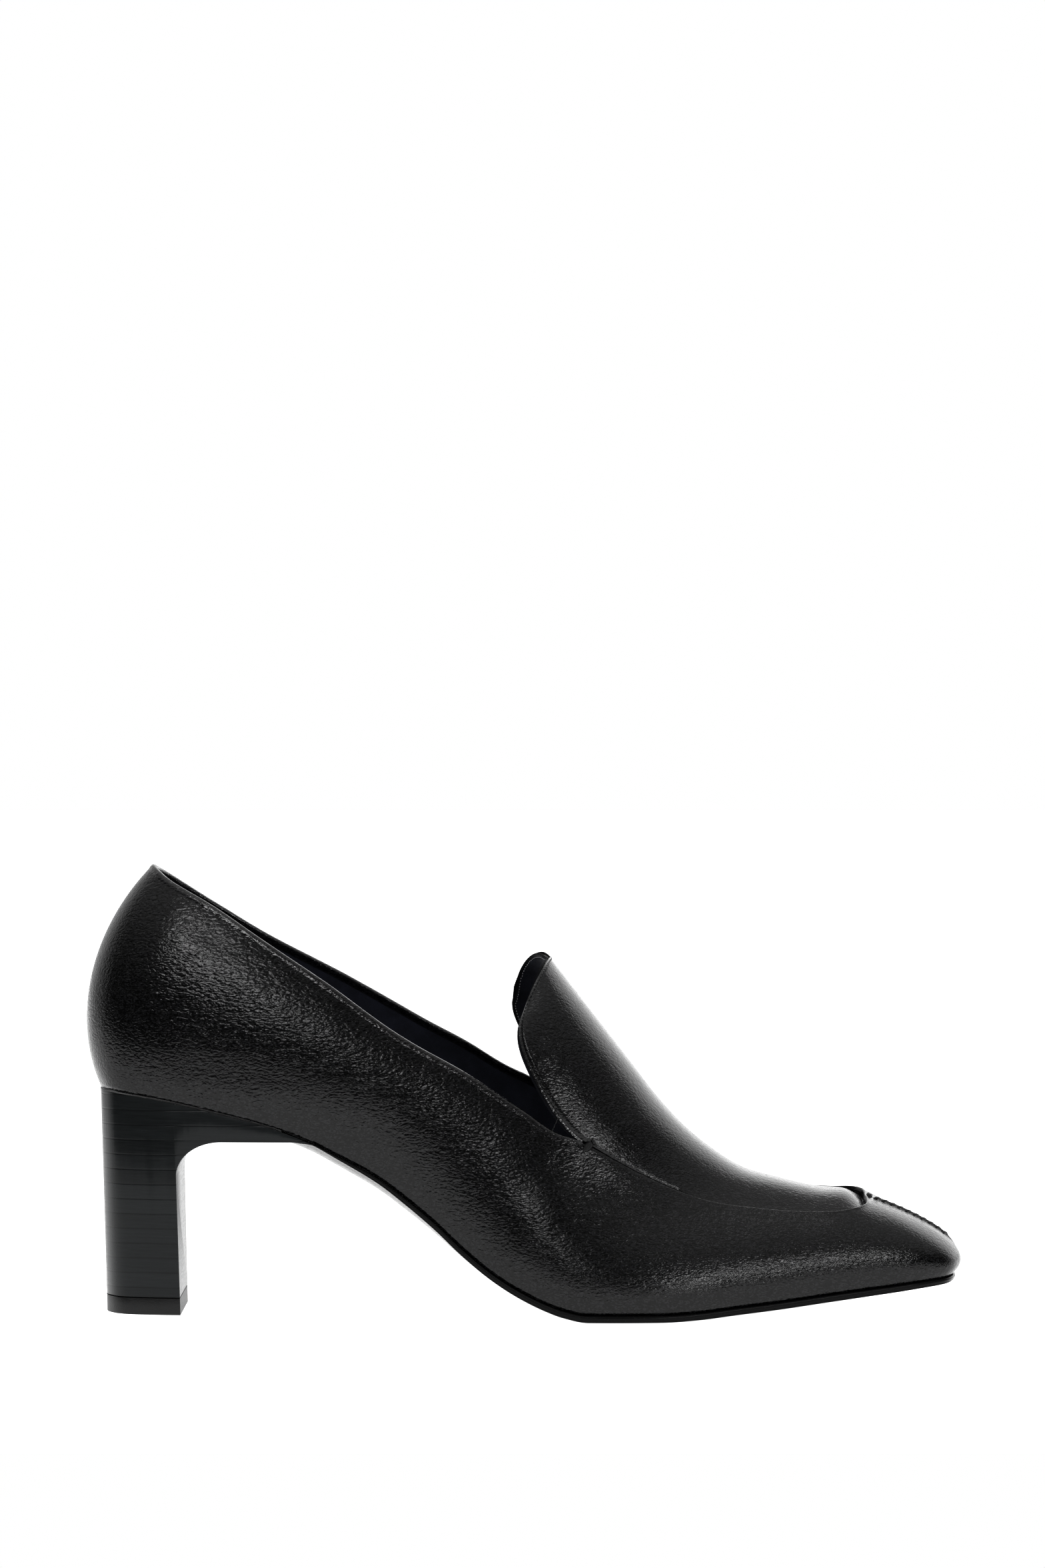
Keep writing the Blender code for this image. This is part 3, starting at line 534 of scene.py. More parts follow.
def apron_row(keys, s, shares):
    """A row of the apron or tongue from its outer edge over the ridge to its inner edge."""
    ridge, steep = key_value(keys, "ridge", s), key_value(keys, "steep", s)
    fade = 1 - smooth(s / FRONT_ROWS)
    row = []
    for side, edge_name, bow_name in ((LATERAL, "outer", "bow_out"), (MEDIAL, "inner", "bow_in")):
        free = s > CORNER - JUNCTION
        edge = key_value(keys, edge_name, s) if free else seam_edge(side, CORNER - s)
        bow = key_value(keys, bow_name, s)
        half = []
        for share in shares:
            point = arch(edge, ridge, steep, bow, share)
            if fade:
                front = seam_edge(side, CORNER + (TIP - CORNER) * share)
                plain = arch(seam_edge(side, CORNER), keys[0].ridge, keys[0].steep, bow, share)
                point = point + fade * (front - plain)
            half.append(point)
        row += half if side == LATERAL else half[-2::-1]
    return row


def rib_stations(first, last, steps):
    return [first + i / steps for i in range((last - first) * steps + 1)]


def find_origin():
    """The middle of the shoe's outline on the floor, as in the solids."""
    heights = np.linspace(0, 1, SOLID_WALL_STEPS + 1)
    around = []
    for side in (LATERAL, MEDIAL):
        for t in rib_stations(0, TIP, SOLID_RIB_STEPS):
            around += wall_rib(side, t, heights)
    low, high = np.min(around, axis=0), np.max(around, axis=0)
    return np.array([(low[0] + high[0]) / 2, (low[1] + high[1]) / 2, 0.0])


ORIGIN = find_origin()


class Shell:
    """Points and faces of a surface, where points at the same place are one."""

    def __init__(self):
        self.points = []
        self.faces = []
        self.known = {}

    def add(self, point):
        key = tuple(int(round(v * 1e7)) for v in point)
        if key not in self.known:
            self.known[key] = len(self.points)
            self.points.append(tuple(float(v) for v in point))
        return self.known[key]

    def grid(self, rows, flip=False):
        """Faces between rows of points, all of one length."""
        index = [[self.add(p) for p in row] for row in rows]
        for near, far in zip(index, index[1:]):
            for a, b, c, d in zip(near, near[1:], far[1:], far):
                corners = []
                for corner in (a, b, c, d):
                    if corner not in corners:
                        corners.append(corner)
                if len(corners) > 2:
                    self.faces.append(corners[::-1] if flip else corners)
        return index

    def to_object(self, name, shade, angle=40.0):
        """A mesh object in the shoe's frame, smooth but for its sharp edges."""
        mesh = bpy.data.meshes.new(name)
        points = np.array(self.points) - ORIGIN
        mesh.from_pydata(points.tolist(), [], self.faces)
        mesh.shade_smooth()
        mesh.set_sharp_from_angle(angle=math.radians(angle))
        mesh.materials.append(shade)
        made = bpy.data.objects.new(name, mesh)
        bpy.context.scene.collection.objects.link(made)
        return made


def fine_stations():
    """Rows round the side wall, closer together next to the toe seam."""
    stations = rib_stations(0, TIP - 1, WALL_FINE)
    return stations + [TIP - 1 + share for share in TOE_STATIONS]


def apron_stations():
    top = SEAM_ROWS + len(TONGUE)
    return [i / APRON_FINE for i in range(top * APRON_FINE + 1)]


def skin(seam_profile):
    """The outer surface of the upper, in the shoe's own frame, and its edges.

    seam_profile holds the folds between side panel and apron.
    """
    shell = Shell()
    stations = fine_stations()
    heights = np.linspace(0, 1, HEIGHT_FINE + 1)
    topline = {}
    for side in (LATERAL, MEDIAL):
        rows = [wall_rib(side, t, heights) for t in stations]
        index = shell.grid(rows, flip=side == LATERAL)
        topline[side] = [row[-1] for row, t in zip(index, stations) if t <= JUNCTION]
        seam = []
        for t in stations:
            if t >= JUNCTION:
                seam.append([seam_point(side, t, fold) for fold in seam_profile])
        shell.grid(seam, flip=side == LATERAL)
    keys = apron_keys()
    shares = seam_shares()
    index = shell.grid([apron_row(keys, s, shares) for s in apron_stations()])
    free = [row for row, s in zip(index, apron_stations()) if s >= SEAM_ROWS]
    tongue = [row[0] for row in free] + free[-1][1:-1] + [row[-1] for row in reversed(free)]
    collar = topline[LATERAL][::-1] + topline[MEDIAL][1:]
    return shell, collar, tongue


def seam_shares():
    """Places across half a row of the apron. They match the side wall's rows at the toe."""
    stations = [t for t in fine_stations() if t >= CORNER]
    return [(t - CORNER) / (TIP - CORNER) for t in stations]


def press(made):
    """Presses the soft creases and the two lips of the toe seam into the leather."""
    mesh = made.data
    places = np.array([vertex.co[:] for vertex in mesh.vertices])
    ways = np.array([vertex.normal[:] for vertex in mesh.vertices])
    shoe = places + ORIGIN
    push = np.zeros(len(places))
    for crease in CREASES:
        start = np.array([crease.x0, crease.z0])
        run = np.array([crease.x1, crease.z1]) - start
        flat = shoe[:, [0, 2]] - start
        share = np.clip(flat @ run / (run @ run), 0, 1)
        away = np.linalg.norm(flat - share[:, None] * run, axis=1)
        fade = np.sqrt(4 * share * (1 - share))
        facing = np.clip(3 * crease.side * ways[:, 1], 0, 1)
        push -= crease.depth * fade * facing * np.exp(-(away / crease.width) ** 2)
    front = np.clip((shoe[:, 0] - KNOT_PLACE) / LIP_FADE, 0, 1)
    front *= np.clip((shoe[:, 2] - WHIP_END) / LIP_END_FADE, 0, 1)
    lips = np.exp(-((np.abs(shoe[:, 1]) - LIP_PLACE) / LIP_WIDTH) ** 2)
    push += TOE_RIDGE * front * lips
    behind = eased((shoe[:, 1] - FALL_FROM) / FALL_WIDTH)
    behind *= eased((FALL_END - shoe[:, 1]) / FALL_FADE)
    push -= TOE_FALL * front * behind
    places += ways * push[:, None]
    mesh.vertices.foreach_set("co", places.ravel())
    mesh.update()


class Edge:
    """A free edge of the upper: its points, the leather's normals and the way out of its edge."""

    def __init__(self, made, index):
        mesh = made.data
        self.points = np.array([mesh.vertices[i].co[:] for i in index])
        self.normals = np.array([mesh.vertices[i].normal[:] for i in index])
        along = np.gradient(self.points, axis=0)
        self.outs = np.cross(along, self.normals)
        self.outs /= np.linalg.norm(self.outs, axis=1)[:, None]

    def offset(self, out, deep):
        """The edge moved out along the leather and down into it."""
        return self.points + out * self.outs - deep * self.normals


def half_round(radius, wide, deep, slant=0.0):
    """Half a turn of a folded edge, from its outer face to its inner one, as (out, deep)."""
    turns = [math.pi * i / 8 for i in range(9)]
    return [
        (wide * math.sin(turn) - slant * math.cos(turn), deep + radius * (1 - math.cos(turn)))
        for turn in turns
    ]


def fold_object(name, edge, profile, shade):
    """A strip that follows an edge. profile gives its rows as (out, deep)."""
    shell = Shell()
    rows = [edge.offset(out, deep) + ORIGIN for out, deep in profile]
    shell.grid([list(row) for row in zip(*rows)])
    return shell.to_object(name, shade, angle=80.0)


def thread_object(name, runs, radius, shade, sides=8):
    """Round threads as one joined mesh, one tube for each run of points."""
    points, faces = [], []
    turns = 2 * math.pi * np.arange(sides) / sides
    for run in runs:
        run = np.array(run)
        along = np.gradient(run, axis=0)
        along /= np.linalg.norm(along, axis=1)[:, None]
        level = np.linalg.svd(run - run.mean(axis=0))[2][-1]
        across = np.cross(along, level)
        across /= np.linalg.norm(across, axis=1)[:, None]
        rise = np.cross(across, along)
        first = len(points)
        for place, a, b in zip(run, across, rise):
            points += [tuple(place + radius * (math.cos(t) * a + math.sin(t) * b)) for t in turns]
        for k in range(len(run) - 1):
            near, far = first + k * sides, first + (k + 1) * sides
            for i in range(sides):
                j = (i + 1) % sides
                faces.append((near + i, near + j, far + j, far + i))
        last = first + (len(run) - 1) * sides
        faces.append(tuple(range(first + sides - 1, first - 1, -1)))
        faces.append(tuple(range(last, last + sides)))
    mesh = bpy.data.meshes.new(name)
    mesh.from_pydata(points, [], faces)
    mesh.shade_smooth()
    mesh.set_sharp_from_angle(angle=math.radians(60))
    mesh.materials.append(shade)
    made = bpy.data.objects.new(name, mesh)
    bpy.context.scene.collection.objects.link(made)
    return made


def lengths_along(path):
    return np.concatenate([[0.0], np.cumsum(np.linalg.norm(np.diff(path, axis=0), axis=1))])


def values_along(path, values, places):
    """Values, given at the points of a path, at some distances along it."""
    known = lengths_along(path)
    return np.array([np.interp(places, known, values[:, k]) for k in range(3)]).T


def machine_stitches(path, normals, pitch, radius, fill=0.78):
    """One short run for each stitch, which dips into the leather at both its ends."""
    runs = []
    count = int(lengths_along(path)[-1] / pitch)
    for i in range(count):
        places = pitch * (i + STITCH_START + fill * np.linspace(0, 1, 6))
        bases = values_along(path, path, places)
        ups = values_along(path, normals, places)
        lift = radius * (1.7 * np.sin(np.pi * np.linspace(0, 1, 6)) - 1.1)
        runs.append(bases + ups * lift[:, None])
    return runs


def loop_over(start, middle, end):
    """A run of thread from start to end, which passes over middle."""
    turn = np.linspace(0, math.pi, 11)[:, None]
    centre = (start + end) / 2
    return centre + (start - end) / 2 * np.cos(turn) + (middle - centre) * np.sin(turn)


def surface_of(made):
    """The piece's surface, for finding the nearest place on it."""
    mesh = made.data
    corners = [face.vertices[:] for face in mesh.polygons]
    return BVHTree.FromPolygons([v.co[:] for v in mesh.vertices], corners)


def laid_on(surface, points):
    """The nearest places on a surface to some points, with the way out of it."""
    places, ways = [], []
    for point in points:
        place, way, _face, _away = surface.find_nearest(Vector(point))
        places.append(place[:])
        ways.append(way[:])
    return np.array(places), np.array(ways)


def keep(made, slot, *nodes):
    """The piece rides on the shoe and stands for the given solids. slot is not used."""
    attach(made, "root")
    if nodes:
        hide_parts(*nodes)
    return made


class Wire:
    """A node's output, for use in Python expressions."""

    def __init__(self, board, socket):
        self.board = board
        self.socket = socket

    def maths(self, operation, *values):
        inputs = dict(enumerate(values))
        return self.board.node("ShaderNodeMath", {"operation": operation}, inputs)

    def __add__(self, other):
        return self.maths("ADD", self, other)

    def __radd__(self, other):
        return self.maths("ADD", other, self)

    def __sub__(self, other):
        return self.maths("SUBTRACT", self, other)

    def __rsub__(self, other):
        return self.maths("SUBTRACT", other, self)

    def __mul__(self, other):
        return self.maths("MULTIPLY", self, other)

    def __rmul__(self, other):
        return self.maths("MULTIPLY", other, self)

    def __truediv__(self, other):
        return self.maths("DIVIDE", self, other)

    def step(self, low, high):
        """0 below low and 1 above high, with a smooth rise between them."""
        settings = {"interpolation_type": "SMOOTHSTEP"}
        return self.board.node("ShaderNodeMapRange", settings, {0: self, 1: low, 2: high})


class Board:
    """The node tree of a material, or of the studio round the shoe, with its shader."""

    def __init__(self, owner, shader="Principled BSDF", **constants):
        owner.use_nodes = True
        self.owner = owner
        self.tree = owner.node_tree
        self.shader = self.tree.nodes[shader]
        for socket, value in constants.items():
            self.shader.inputs[socket.replace("_", " ")].default_value = value

    def node(self, kind, settings=None, inputs=None, out=0):
        """Adds a node: first its settings, then the values or links of its sockets."""
        made = self.tree.nodes.new(kind)
        for name, value in (settings or {}).items():
            if name == "stops":
                self.set_stops(made.color_ramp, value)
            else:
                setattr(made, name, value)
        for name, value in (inputs or {}).items():
            self.put(made.inputs[name], value)
        return Wire(self, made.outputs[out])

    def set_stops(self, ramp, stops):
        for i, (place, value) in enumerate(stops):
            stop = ramp.elements[i] if i < 2 else ramp.elements.new(place)
            stop.position = place
            stop.color = value

    def put(self, socket, value):
        if isinstance(value, Wire):
            self.tree.links.new(value.socket, socket)
        else:
            socket.default_value = value

    def place(self, scale=(1.0, 1.0, 1.0)):
        """Places on the piece in the shoe's frame, stretched by scale."""
        coordinates = self.node("ShaderNodeTexCoord", out="Object")
        settings = {"operation": "MULTIPLY"}
        return self.node("ShaderNodeVectorMath", settings, {0: coordinates, 1: scale})

    def noise(self, place, scale, detail=3.0, roughness=0.55):
        inputs = {"Vector": place, "Scale": scale, "Detail": detail, "Roughness": roughness}
        return self.node("ShaderNodeTexNoise", None, inputs, out="Fac")

    def cells(self, place, scale):
        """Distance to the nearest border between cells, 0 on the border."""
        settings = {"feature": "DISTANCE_TO_EDGE"}
        inputs = {"Vector": place, "Scale": scale}
        return self.node("ShaderNodeTexVoronoi", settings, inputs, out="Distance")

    def domes(self, place, scale):
        """Round pebbles, 1 at the middle of each and lower towards its neighbours."""
        settings = {"feature": "SMOOTH_F1"}
        inputs = {"Vector": place, "Scale": scale, "Smoothness": 0.25}
        away = self.node("ShaderNodeTexVoronoi", settings, inputs, out="Distance")
        return 1 - away * away * 2.2

    def warped(self, place, scale, amount):
        """place pushed about by noise, so that a pattern isn't regular."""
        inputs = {"Vector": place, "Scale": scale, "Detail": 2.0}
        push = self.node("ShaderNodeTexNoise", None, inputs, out="Color")
        settings = {"operation": "MULTIPLY_ADD"}
        values = {0: push, 1: (amount, amount, amount), 2: place}
        return self.node("ShaderNodeVectorMath", settings, values)

    def bump(self, height, distance):
        inputs = {"Height": height, "Distance": distance, "Strength": 1.0}
        self.feed("Normal", self.node("ShaderNodeBump", None, inputs))

    def tint(self, factor, first, second):
        """A colour between two others."""
        settings = {"data_type": "RGBA"}
        inputs = {"Factor": factor, 6: (*first, 1.0), 7: (*second, 1.0)}
        return self.node("ShaderNodeMix", settings, inputs, out=2)

    def feed(self, socket, value):
        self.put(self.shader.inputs[socket], value)


def toned(colour, share):
    """A darker or paler shade of a colour."""
    return tuple(share * value for value in colour)


def leather_finish(name, colour, grain, depth, gloss, shine=LEATHER_SHINE):
    """Soft nappa: flat pebbles longer than high, fine creases between them, uneven gloss."""
    board = Board(bpy.data.materials.new(name), Specular_IOR_Level=shine)
    place = board.warped(board.place((0.5, 0.8, 1.0)), 300.0, 0.0012)
    along = board.node("ShaderNodeSeparateXYZ", None, {0: board.place()}, out="X")
    stretched = along.step(*FINER_FROM)
    coarse = board.noise(place, 1 / grain, detail=1.0, roughness=0.5)
    fine = board.noise(place, FINER / grain, detail=1.0, roughness=0.5)
    ripples = coarse + stretched * (fine - coarse)
    pebbles = board.domes(place, 0.8 / grain)
    creases = board.cells(board.warped(place, 120.0, 0.002), 0.4 / grain).step(0.0, 0.12)
    swell = board.noise(board.place(), 110.0, detail=2.0)
    relief = (ripples + 0.3 * pebbles + creases * 0.15) * (1 - FLATTER * stretched)
    board.bump(relief + swell, depth)
    worn = board.noise(board.place(), 38.0)
    board.feed("Roughness", gloss + 0.06 * (worn - 0.5) + 0.06 * (1 - creases))
    # The base colour paints the grain's light and shade: pale specks are painted highlights on the
    # pebbles, and the creases between them are painted dark as shade.
    painted_glints = board.noise(place, 1.6 / grain, detail=1.0, roughness=0.5).step(0.40, 0.62)
    shades = toned(colour, 0.2), toned(colour, 7.0)
    board.feed("Base Color", board.tint(painted_glints * creases, *shades))
    return board.owner


def lining_finish(name, colour):
    """Napped lining: soft, matt and slightly mottled."""
    constants = {"Sheen_Weight": 0.25, "Sheen_Roughness": 0.4, "Specular_IOR_Level": 0.3}
    board = Board(bpy.data.materials.new(name), **constants)
    place = board.place()
    nap = board.noise(place, 2600.0, detail=2.0)
    cloud = board.noise(place, 220.0, detail=4.0)
    board.bump(nap * 0.7 + cloud, 0.00012)
    board.feed("Roughness", 0.82 + 0.12 * nap)
    board.feed("Base Color", board.tint(cloud.step(0.3, 0.75), colour, toned(colour, 1.7)))
    return board.owner


def thread_finish(name, colour, gloss):
    """Waxed thread with its twist."""
    board = Board(bpy.data.materials.new(name))
    place = board.place()
    twist = board.noise(place, 3200.0, detail=1.0)
    board.bump(twist, 0.00006)
    board.feed("Roughness", gloss + 0.15 * twist)
    board.feed("Base Color", board.tint(twist, colour, toned(colour, 1.5)))
    return board.owner


def edge_paint_finish(name, colour, gloss):
    """Edge dressing: smooth with faint long ripples and dull specks."""
    board = Board(bpy.data.materials.new(name), Specular_IOR_Level=0.14)
    place = board.place((0.3, 0.3, 1.0))
    ripple = board.noise(place, 900.0, detail=3.0)
    speck = board.noise(board.place(), 1500.0, detail=2.0).step(0.55, 0.8)
    board.bump(ripple + speck * 0.3, 0.00003)
    board.feed("Roughness", gloss + 0.12 * ripple + 0.2 * speck)
    board.feed("Base Color", board.tint(speck, colour, toned(colour, 1.8)))
    return board.owner


def stack_finish(name, colour, layer, gloss):
    """Stacked heel: thin level layers with dark joints and fine streaks along them."""
    board = Board(bpy.data.materials.new(name), Specular_IOR_Level=0.3)
    coordinates = board.node("ShaderNodeTexCoord", out="Object")
    height = board.node("ShaderNodeSeparateXYZ", None, {0: coordinates}, out="Z")
    waver = board.noise(board.place((0.5, 0.5, 0.2)), 60.0, detail=2.0)
    level = (height + waver * 0.0012) / layer
    within = level.maths("FRACT", level)
    joint = (1 - within.step(0.0, 0.10)) + within.step(0.93, 1.0)
    number = level.maths("FLOOR", level)
    streak = board.noise(board.place((0.12, 0.12, 2.2)), 900.0, detail=4.0, roughness=0.65)
    settings = {"noise_dimensions": "1D"}
    shade = board.node("ShaderNodeTexNoise", settings, {"W": number * 3.7, "Scale": 1.0}, out="Fac")
    tone = streak * 0.55 + shade * 0.6 + 0.25 * (1 - joint)
    shades = toned(colour, 0.55), toned(colour, 1.6)
    board.feed("Base Color", board.tint(tone.step(0.35, 1.15), *shades))
    board.bump(streak * 0.4 + (1 - joint), 0.00002)
    board.feed("Roughness", gloss + 0.16 * streak)
    return board.owner


def rubber_finish(name, colour):
    """Top-lift rubber: matt with a fine speckle."""
    board = Board(bpy.data.materials.new(name))
    speck = board.noise(board.place(), 2400.0, detail=3.0)
    board.bump(speck, 0.00005)
    board.feed("Roughness", 0.26 + 0.2 * speck)
    board.feed("Base Color", board.tint(speck, toned(colour, 0.6), colour))
    return board.owner


def length_property(name, description, default):
    return FloatProperty(
        name=name, description=description, default=default, unit="LENGTH", precision=5
    )


def colour_property(name, description, default):
    return FloatVectorProperty(
        name=name, description=description, default=default, subtype="COLOR", size=3, min=0.0, max=1.0
    )


class LeatherSettings(bpy.types.PropertyGroup):
    colour: colour_property("Leather", "Colour of the nappa", (0.0024, 0.0024, 0.0026))
    grain: length_property("Grain", "Height of one pebble of the grain", 0.00056)
    depth: length_property("Grain depth", "Height of the grain", 0.000092)
    gloss: FloatProperty(name="Roughness", description="Roughness of the leather", default=0.15)
    thickness: length_property("Leather thickness", "Thickness of the outer leather", 0.0010)


class LiningSettings(bpy.types.PropertyGroup):
    colour: colour_property("Lining", "Colour of the napped lining", (0.0160, 0.0178, 0.0280))
    thickness: length_property("Lining thickness", "Thickness of the lining", 0.0007)
    band: length_property("Edge band", "Width of the leather turned in along the topline", 0.0016)
    margin: length_property("Lining margin", "How far the lining stands past the tongue", 0.0003)


class ThreadSettings(bpy.types.PropertyGroup):
    colour: colour_property("Thread", "Colour of the waxed thread", (0.0080, 0.0080, 0.0085))
    pale: colour_property("Bobbin", "Colour of the thread behind the tongue", (0.50, 0.50, 0.52))
    pitch: length_property("Stitch pitch", "Distance between machine stitches", 0.0012)
    inset: length_property("Stitch inset", "Distance of the machine stitches from the edge", 0.0022)
    whip_pitch: length_property("Whip pitch", "Distance between the toe's whip stitches", 0.00235)
    whips: IntProperty(name="Whips", description="Number of whip stitches on the toe", default=10)


class BottomSettings(bpy.types.PropertyGroup):
    sole: colour_property("Sole", "Colour of the sole's edge paint", (0.0070, 0.0070, 0.0072))
    heel: colour_property("Heel", "Colour of the stacked heel", (0.0145, 0.0162, 0.0170))
    lift: colour_property("Top lift", "Colour of the top lift", (0.0110, 0.0112, 0.0115))
    layer: length_property("Layer", "Thickness of a layer of the stacked heel", 0.0041)


class StageSettings(bpy.types.PropertyGroup):
    distance: length_property("Distance", "Distance of the camera from the shoe", 1.6)
    eye: length_property("Eye height", "Height of the camera over the floor", 0.176)
    aim: length_property("Aim height", "Height of the point that the camera looks at", 0.1464)
    along: length_property("Along", "Camera's place along the shoe, from its back", 0.1215)
    lens: FloatProperty(name="Lens", description="Focal length in millimetres", default=131.8)
    floor: colour_property("Floor", "Colour of the floor", (0.60, 0.60, 0.60))


class LOAFER_OT_stage(bpy.types.Operator):
    """Floor, lights and camera"""

    bl_idname = "loafer.stage"
    bl_label = "Stage"

    def execute(self, context):
        settings = context.scene.loafer_stage
        self.add_floor(context, settings.floor)
        self.add_world(context)
        for box in SOFTBOXES:
            self.add_softbox(context, box)
        self.add_camera(context, settings)
        context.scene.view_settings.view_transform = "Standard"
        context.scene.view_settings.gamma = VIEW_GAMMA
        context.scene.cycles.use_denoising = True
        return {"FINISHED"}

    def add_floor(self, context, colour):
        board = Board(bpy.data.materials.new("pale_floor"), Roughness=0.9, Specular_IOR_Level=0.1)
        board.feed("Base Color", (*colour, 1.0))
        board.feed("Emission Color", (1.0, 1.0, 1.0, 1.0))
        board.feed("Emission Strength", FLOOR_GLOW)
        shell = Shell()
        sides = np.linspace(-FLOOR_REACH, FLOOR_REACH, 5)
        depths = np.linspace(-FLOOR_FRONT, FLOOR_REACH, 5)
        shell.grid([[ORIGIN + [x, y, 0.0] for y in depths] for x in sides], flip=True)
        shell.to_object("floor", board.owner)

    def add_world(self, context):
        """White behind the shoe, soft light from above and dark low on the camera's side."""
        world = bpy.data.worlds.new("studio")
        context.scene.world = world
        board = Board(world, "Background")
        coordinates = board.node("ShaderNodeTexCoord", out="Generated")
        split = {0: coordinates}
        depth = board.node("ShaderNodeSeparateXYZ", None, split, out="Y")
        height = board.node("ShaderNodeSeparateXYZ", None, split, out="Z")
        behind = depth.step(*SIDE_LIGHT)
        above = DIM + BRIGHT * height.step(*TOP_LIGHT)
        seen = board.node("ShaderNodeLightPath", out="Is Camera Ray")
        level = behind.maths("MAXIMUM", above.maths("MAXIMUM", behind, above), seen)
        board.feed("Strength", level)
        board.feed("Color", (1.0, 1.0, 1.0, 1.0))

    def add_softbox(self, context, box):
        lamp = bpy.data.lights.new(box.name, "AREA")
        lamp.shape = "RECTANGLE"
        lamp.size = box.width
        lamp.size_y = box.height
        lamp.energy = box.watts
        made = bpy.data.objects.new(box.name, lamp)
        made.location = box.place
        aim = Vector(SOFTBOX_AIM) - Vector(box.place)
        turn = aim.to_track_quat("-Z", "Y") @ Quaternion((0.0, 0.0, 1.0), box.roll)
        made.rotation_euler = turn.to_euler()
        made.visible_camera = False
        context.scene.collection.objects.link(made)

    def add_camera(self, context, settings):
        lens = bpy.data.cameras.new("photo_camera")
        lens.sensor_width = 36.0
        lens.lens = settings.lens
        lens.clip_end = 30.0
        made = bpy.data.objects.new("photo_camera", lens)
        made.location = (settings.along - ORIGIN[0], -settings.distance, settings.eye)
        pitch = math.atan((settings.eye - settings.aim) / settings.distance)
        made.rotation_euler = (math.pi / 2 - pitch, 0.0, 0.0)
        context.scene.collection.objects.link(made)
        context.scene.camera = made


class LOAFER_OT_upper(bpy.types.Operator):
    """Side panels, apron and tongue in one leather skin, with the folded topline"""

    bl_idname = "loafer.upper"
    bl_label = "Upper"

    def execute(self, context):
        settings = context.scene.loafer_leather
        colour = tuple(settings.colour)
        grain = colour, settings.grain, settings.depth
        leather = leather_finish("grained_leather", *grain, settings.gloss)
        fold = leather_finish("folded_leather", *grain, FOLD_GLOSS, FOLD_SHINE)
        shell, collar, tongue = skin(SEAM_FOLD + [SEAM_END])
        made = shell.to_object("upper_leather", leather, angle=75.0)
        press(made)
        made["tongue_edge"] = tongue
        self.collar, self.tongue = Edge(made, collar), Edge(made, tongue)
        solid = made.modifiers.new("thickness", "SOLIDIFY")
        solid.thickness = settings.thickness
        solid.offset = -1.0
        keep(made, "black_leather", "upper")
        self.add_topline(fold, context.scene.loafer_lining.band)
        self.add_tongue_edge(fold, settings.thickness)
        return {"FINISHED"}

    def add_topline(self, shade, band):
        """The leather turned over the topline and in along its inner side.

        The profile runs over the outer face as a low swelling, round the roll and in.
        """
        radius = UPPER_WALL / 2
        profile = TOPLINE_SWELL + half_round(radius + 0.00008, 0.6 * radius, -0.00016, slant=0.0001)
        profile += [(-0.5 * band, 2 * radius + 0.00012), (-band, 2 * radius + 0.00002)]
        profile.append((-1.02 * band, 2 * radius - 0.0003))
        keep(fold_object("topline_fold", self.collar, profile, shade), "black_leather")

    def add_tongue_edge(self, shade, thickness):
        """The tongue's leather, folded under at its free edge."""
        radius = thickness / 2
        profile = [(-0.0006, 0.0), (-0.0002, -0.00006)]
        profile += half_round(radius, 0.7 * radius, -0.00006)
        profile.append((-0.0004, 2 * radius))
        keep(fold_object("tongue_fold", self.tongue, profile, shade), "black_leather")


class LOAFER_OT_lining(bpy.types.Operator):
    """Napped lining inside the upper and behind the tongue"""

    bl_idname = "loafer.lining"
    bl_label = "Lining"

    def execute(self, context):
        settings = context.scene.loafer_lining
        leather = context.scene.loafer_leather
        shade = lining_finish("napped_lining", tuple(settings.colour))
        shell, _collar, tongue = skin([SEAM_FOLD[0], SEAM_END])
        made = shell.to_object("lining", shade, angle=80.0)
        edge = Edge(made, tongue)
        solid = made.modifiers.new("thickness", "SOLIDIFY")
        solid.thickness = settings.thickness
        solid.offset = -1.0 - 2.0 * leather.thickness / settings.thickness
        keep(made, "insole_lining")
        deep, thick, margin = leather.thickness, settings.thickness, settings.margin
        profile = [(-0.0010, deep), (margin - 0.3 * thick, deep + 0.00003)]
        profile += [(margin, deep + 0.35 * thick), (margin, deep + 0.65 * thick)]
        profile += [(margin - 0.3 * thick, deep + thick), (-0.0010, deep + thick + 0.00003)]
        # The lining's edge along the tongue takes a darker copy of the lining: painted shade.
        shaded_rim = lining_finish("lining_edge_painted_shade", toned(settings.colour, 0.3))
        keep(fold_object("tongue_lining_edge", edge, profile, shaded_rim), "insole_lining")
        return {"FINISHED"}


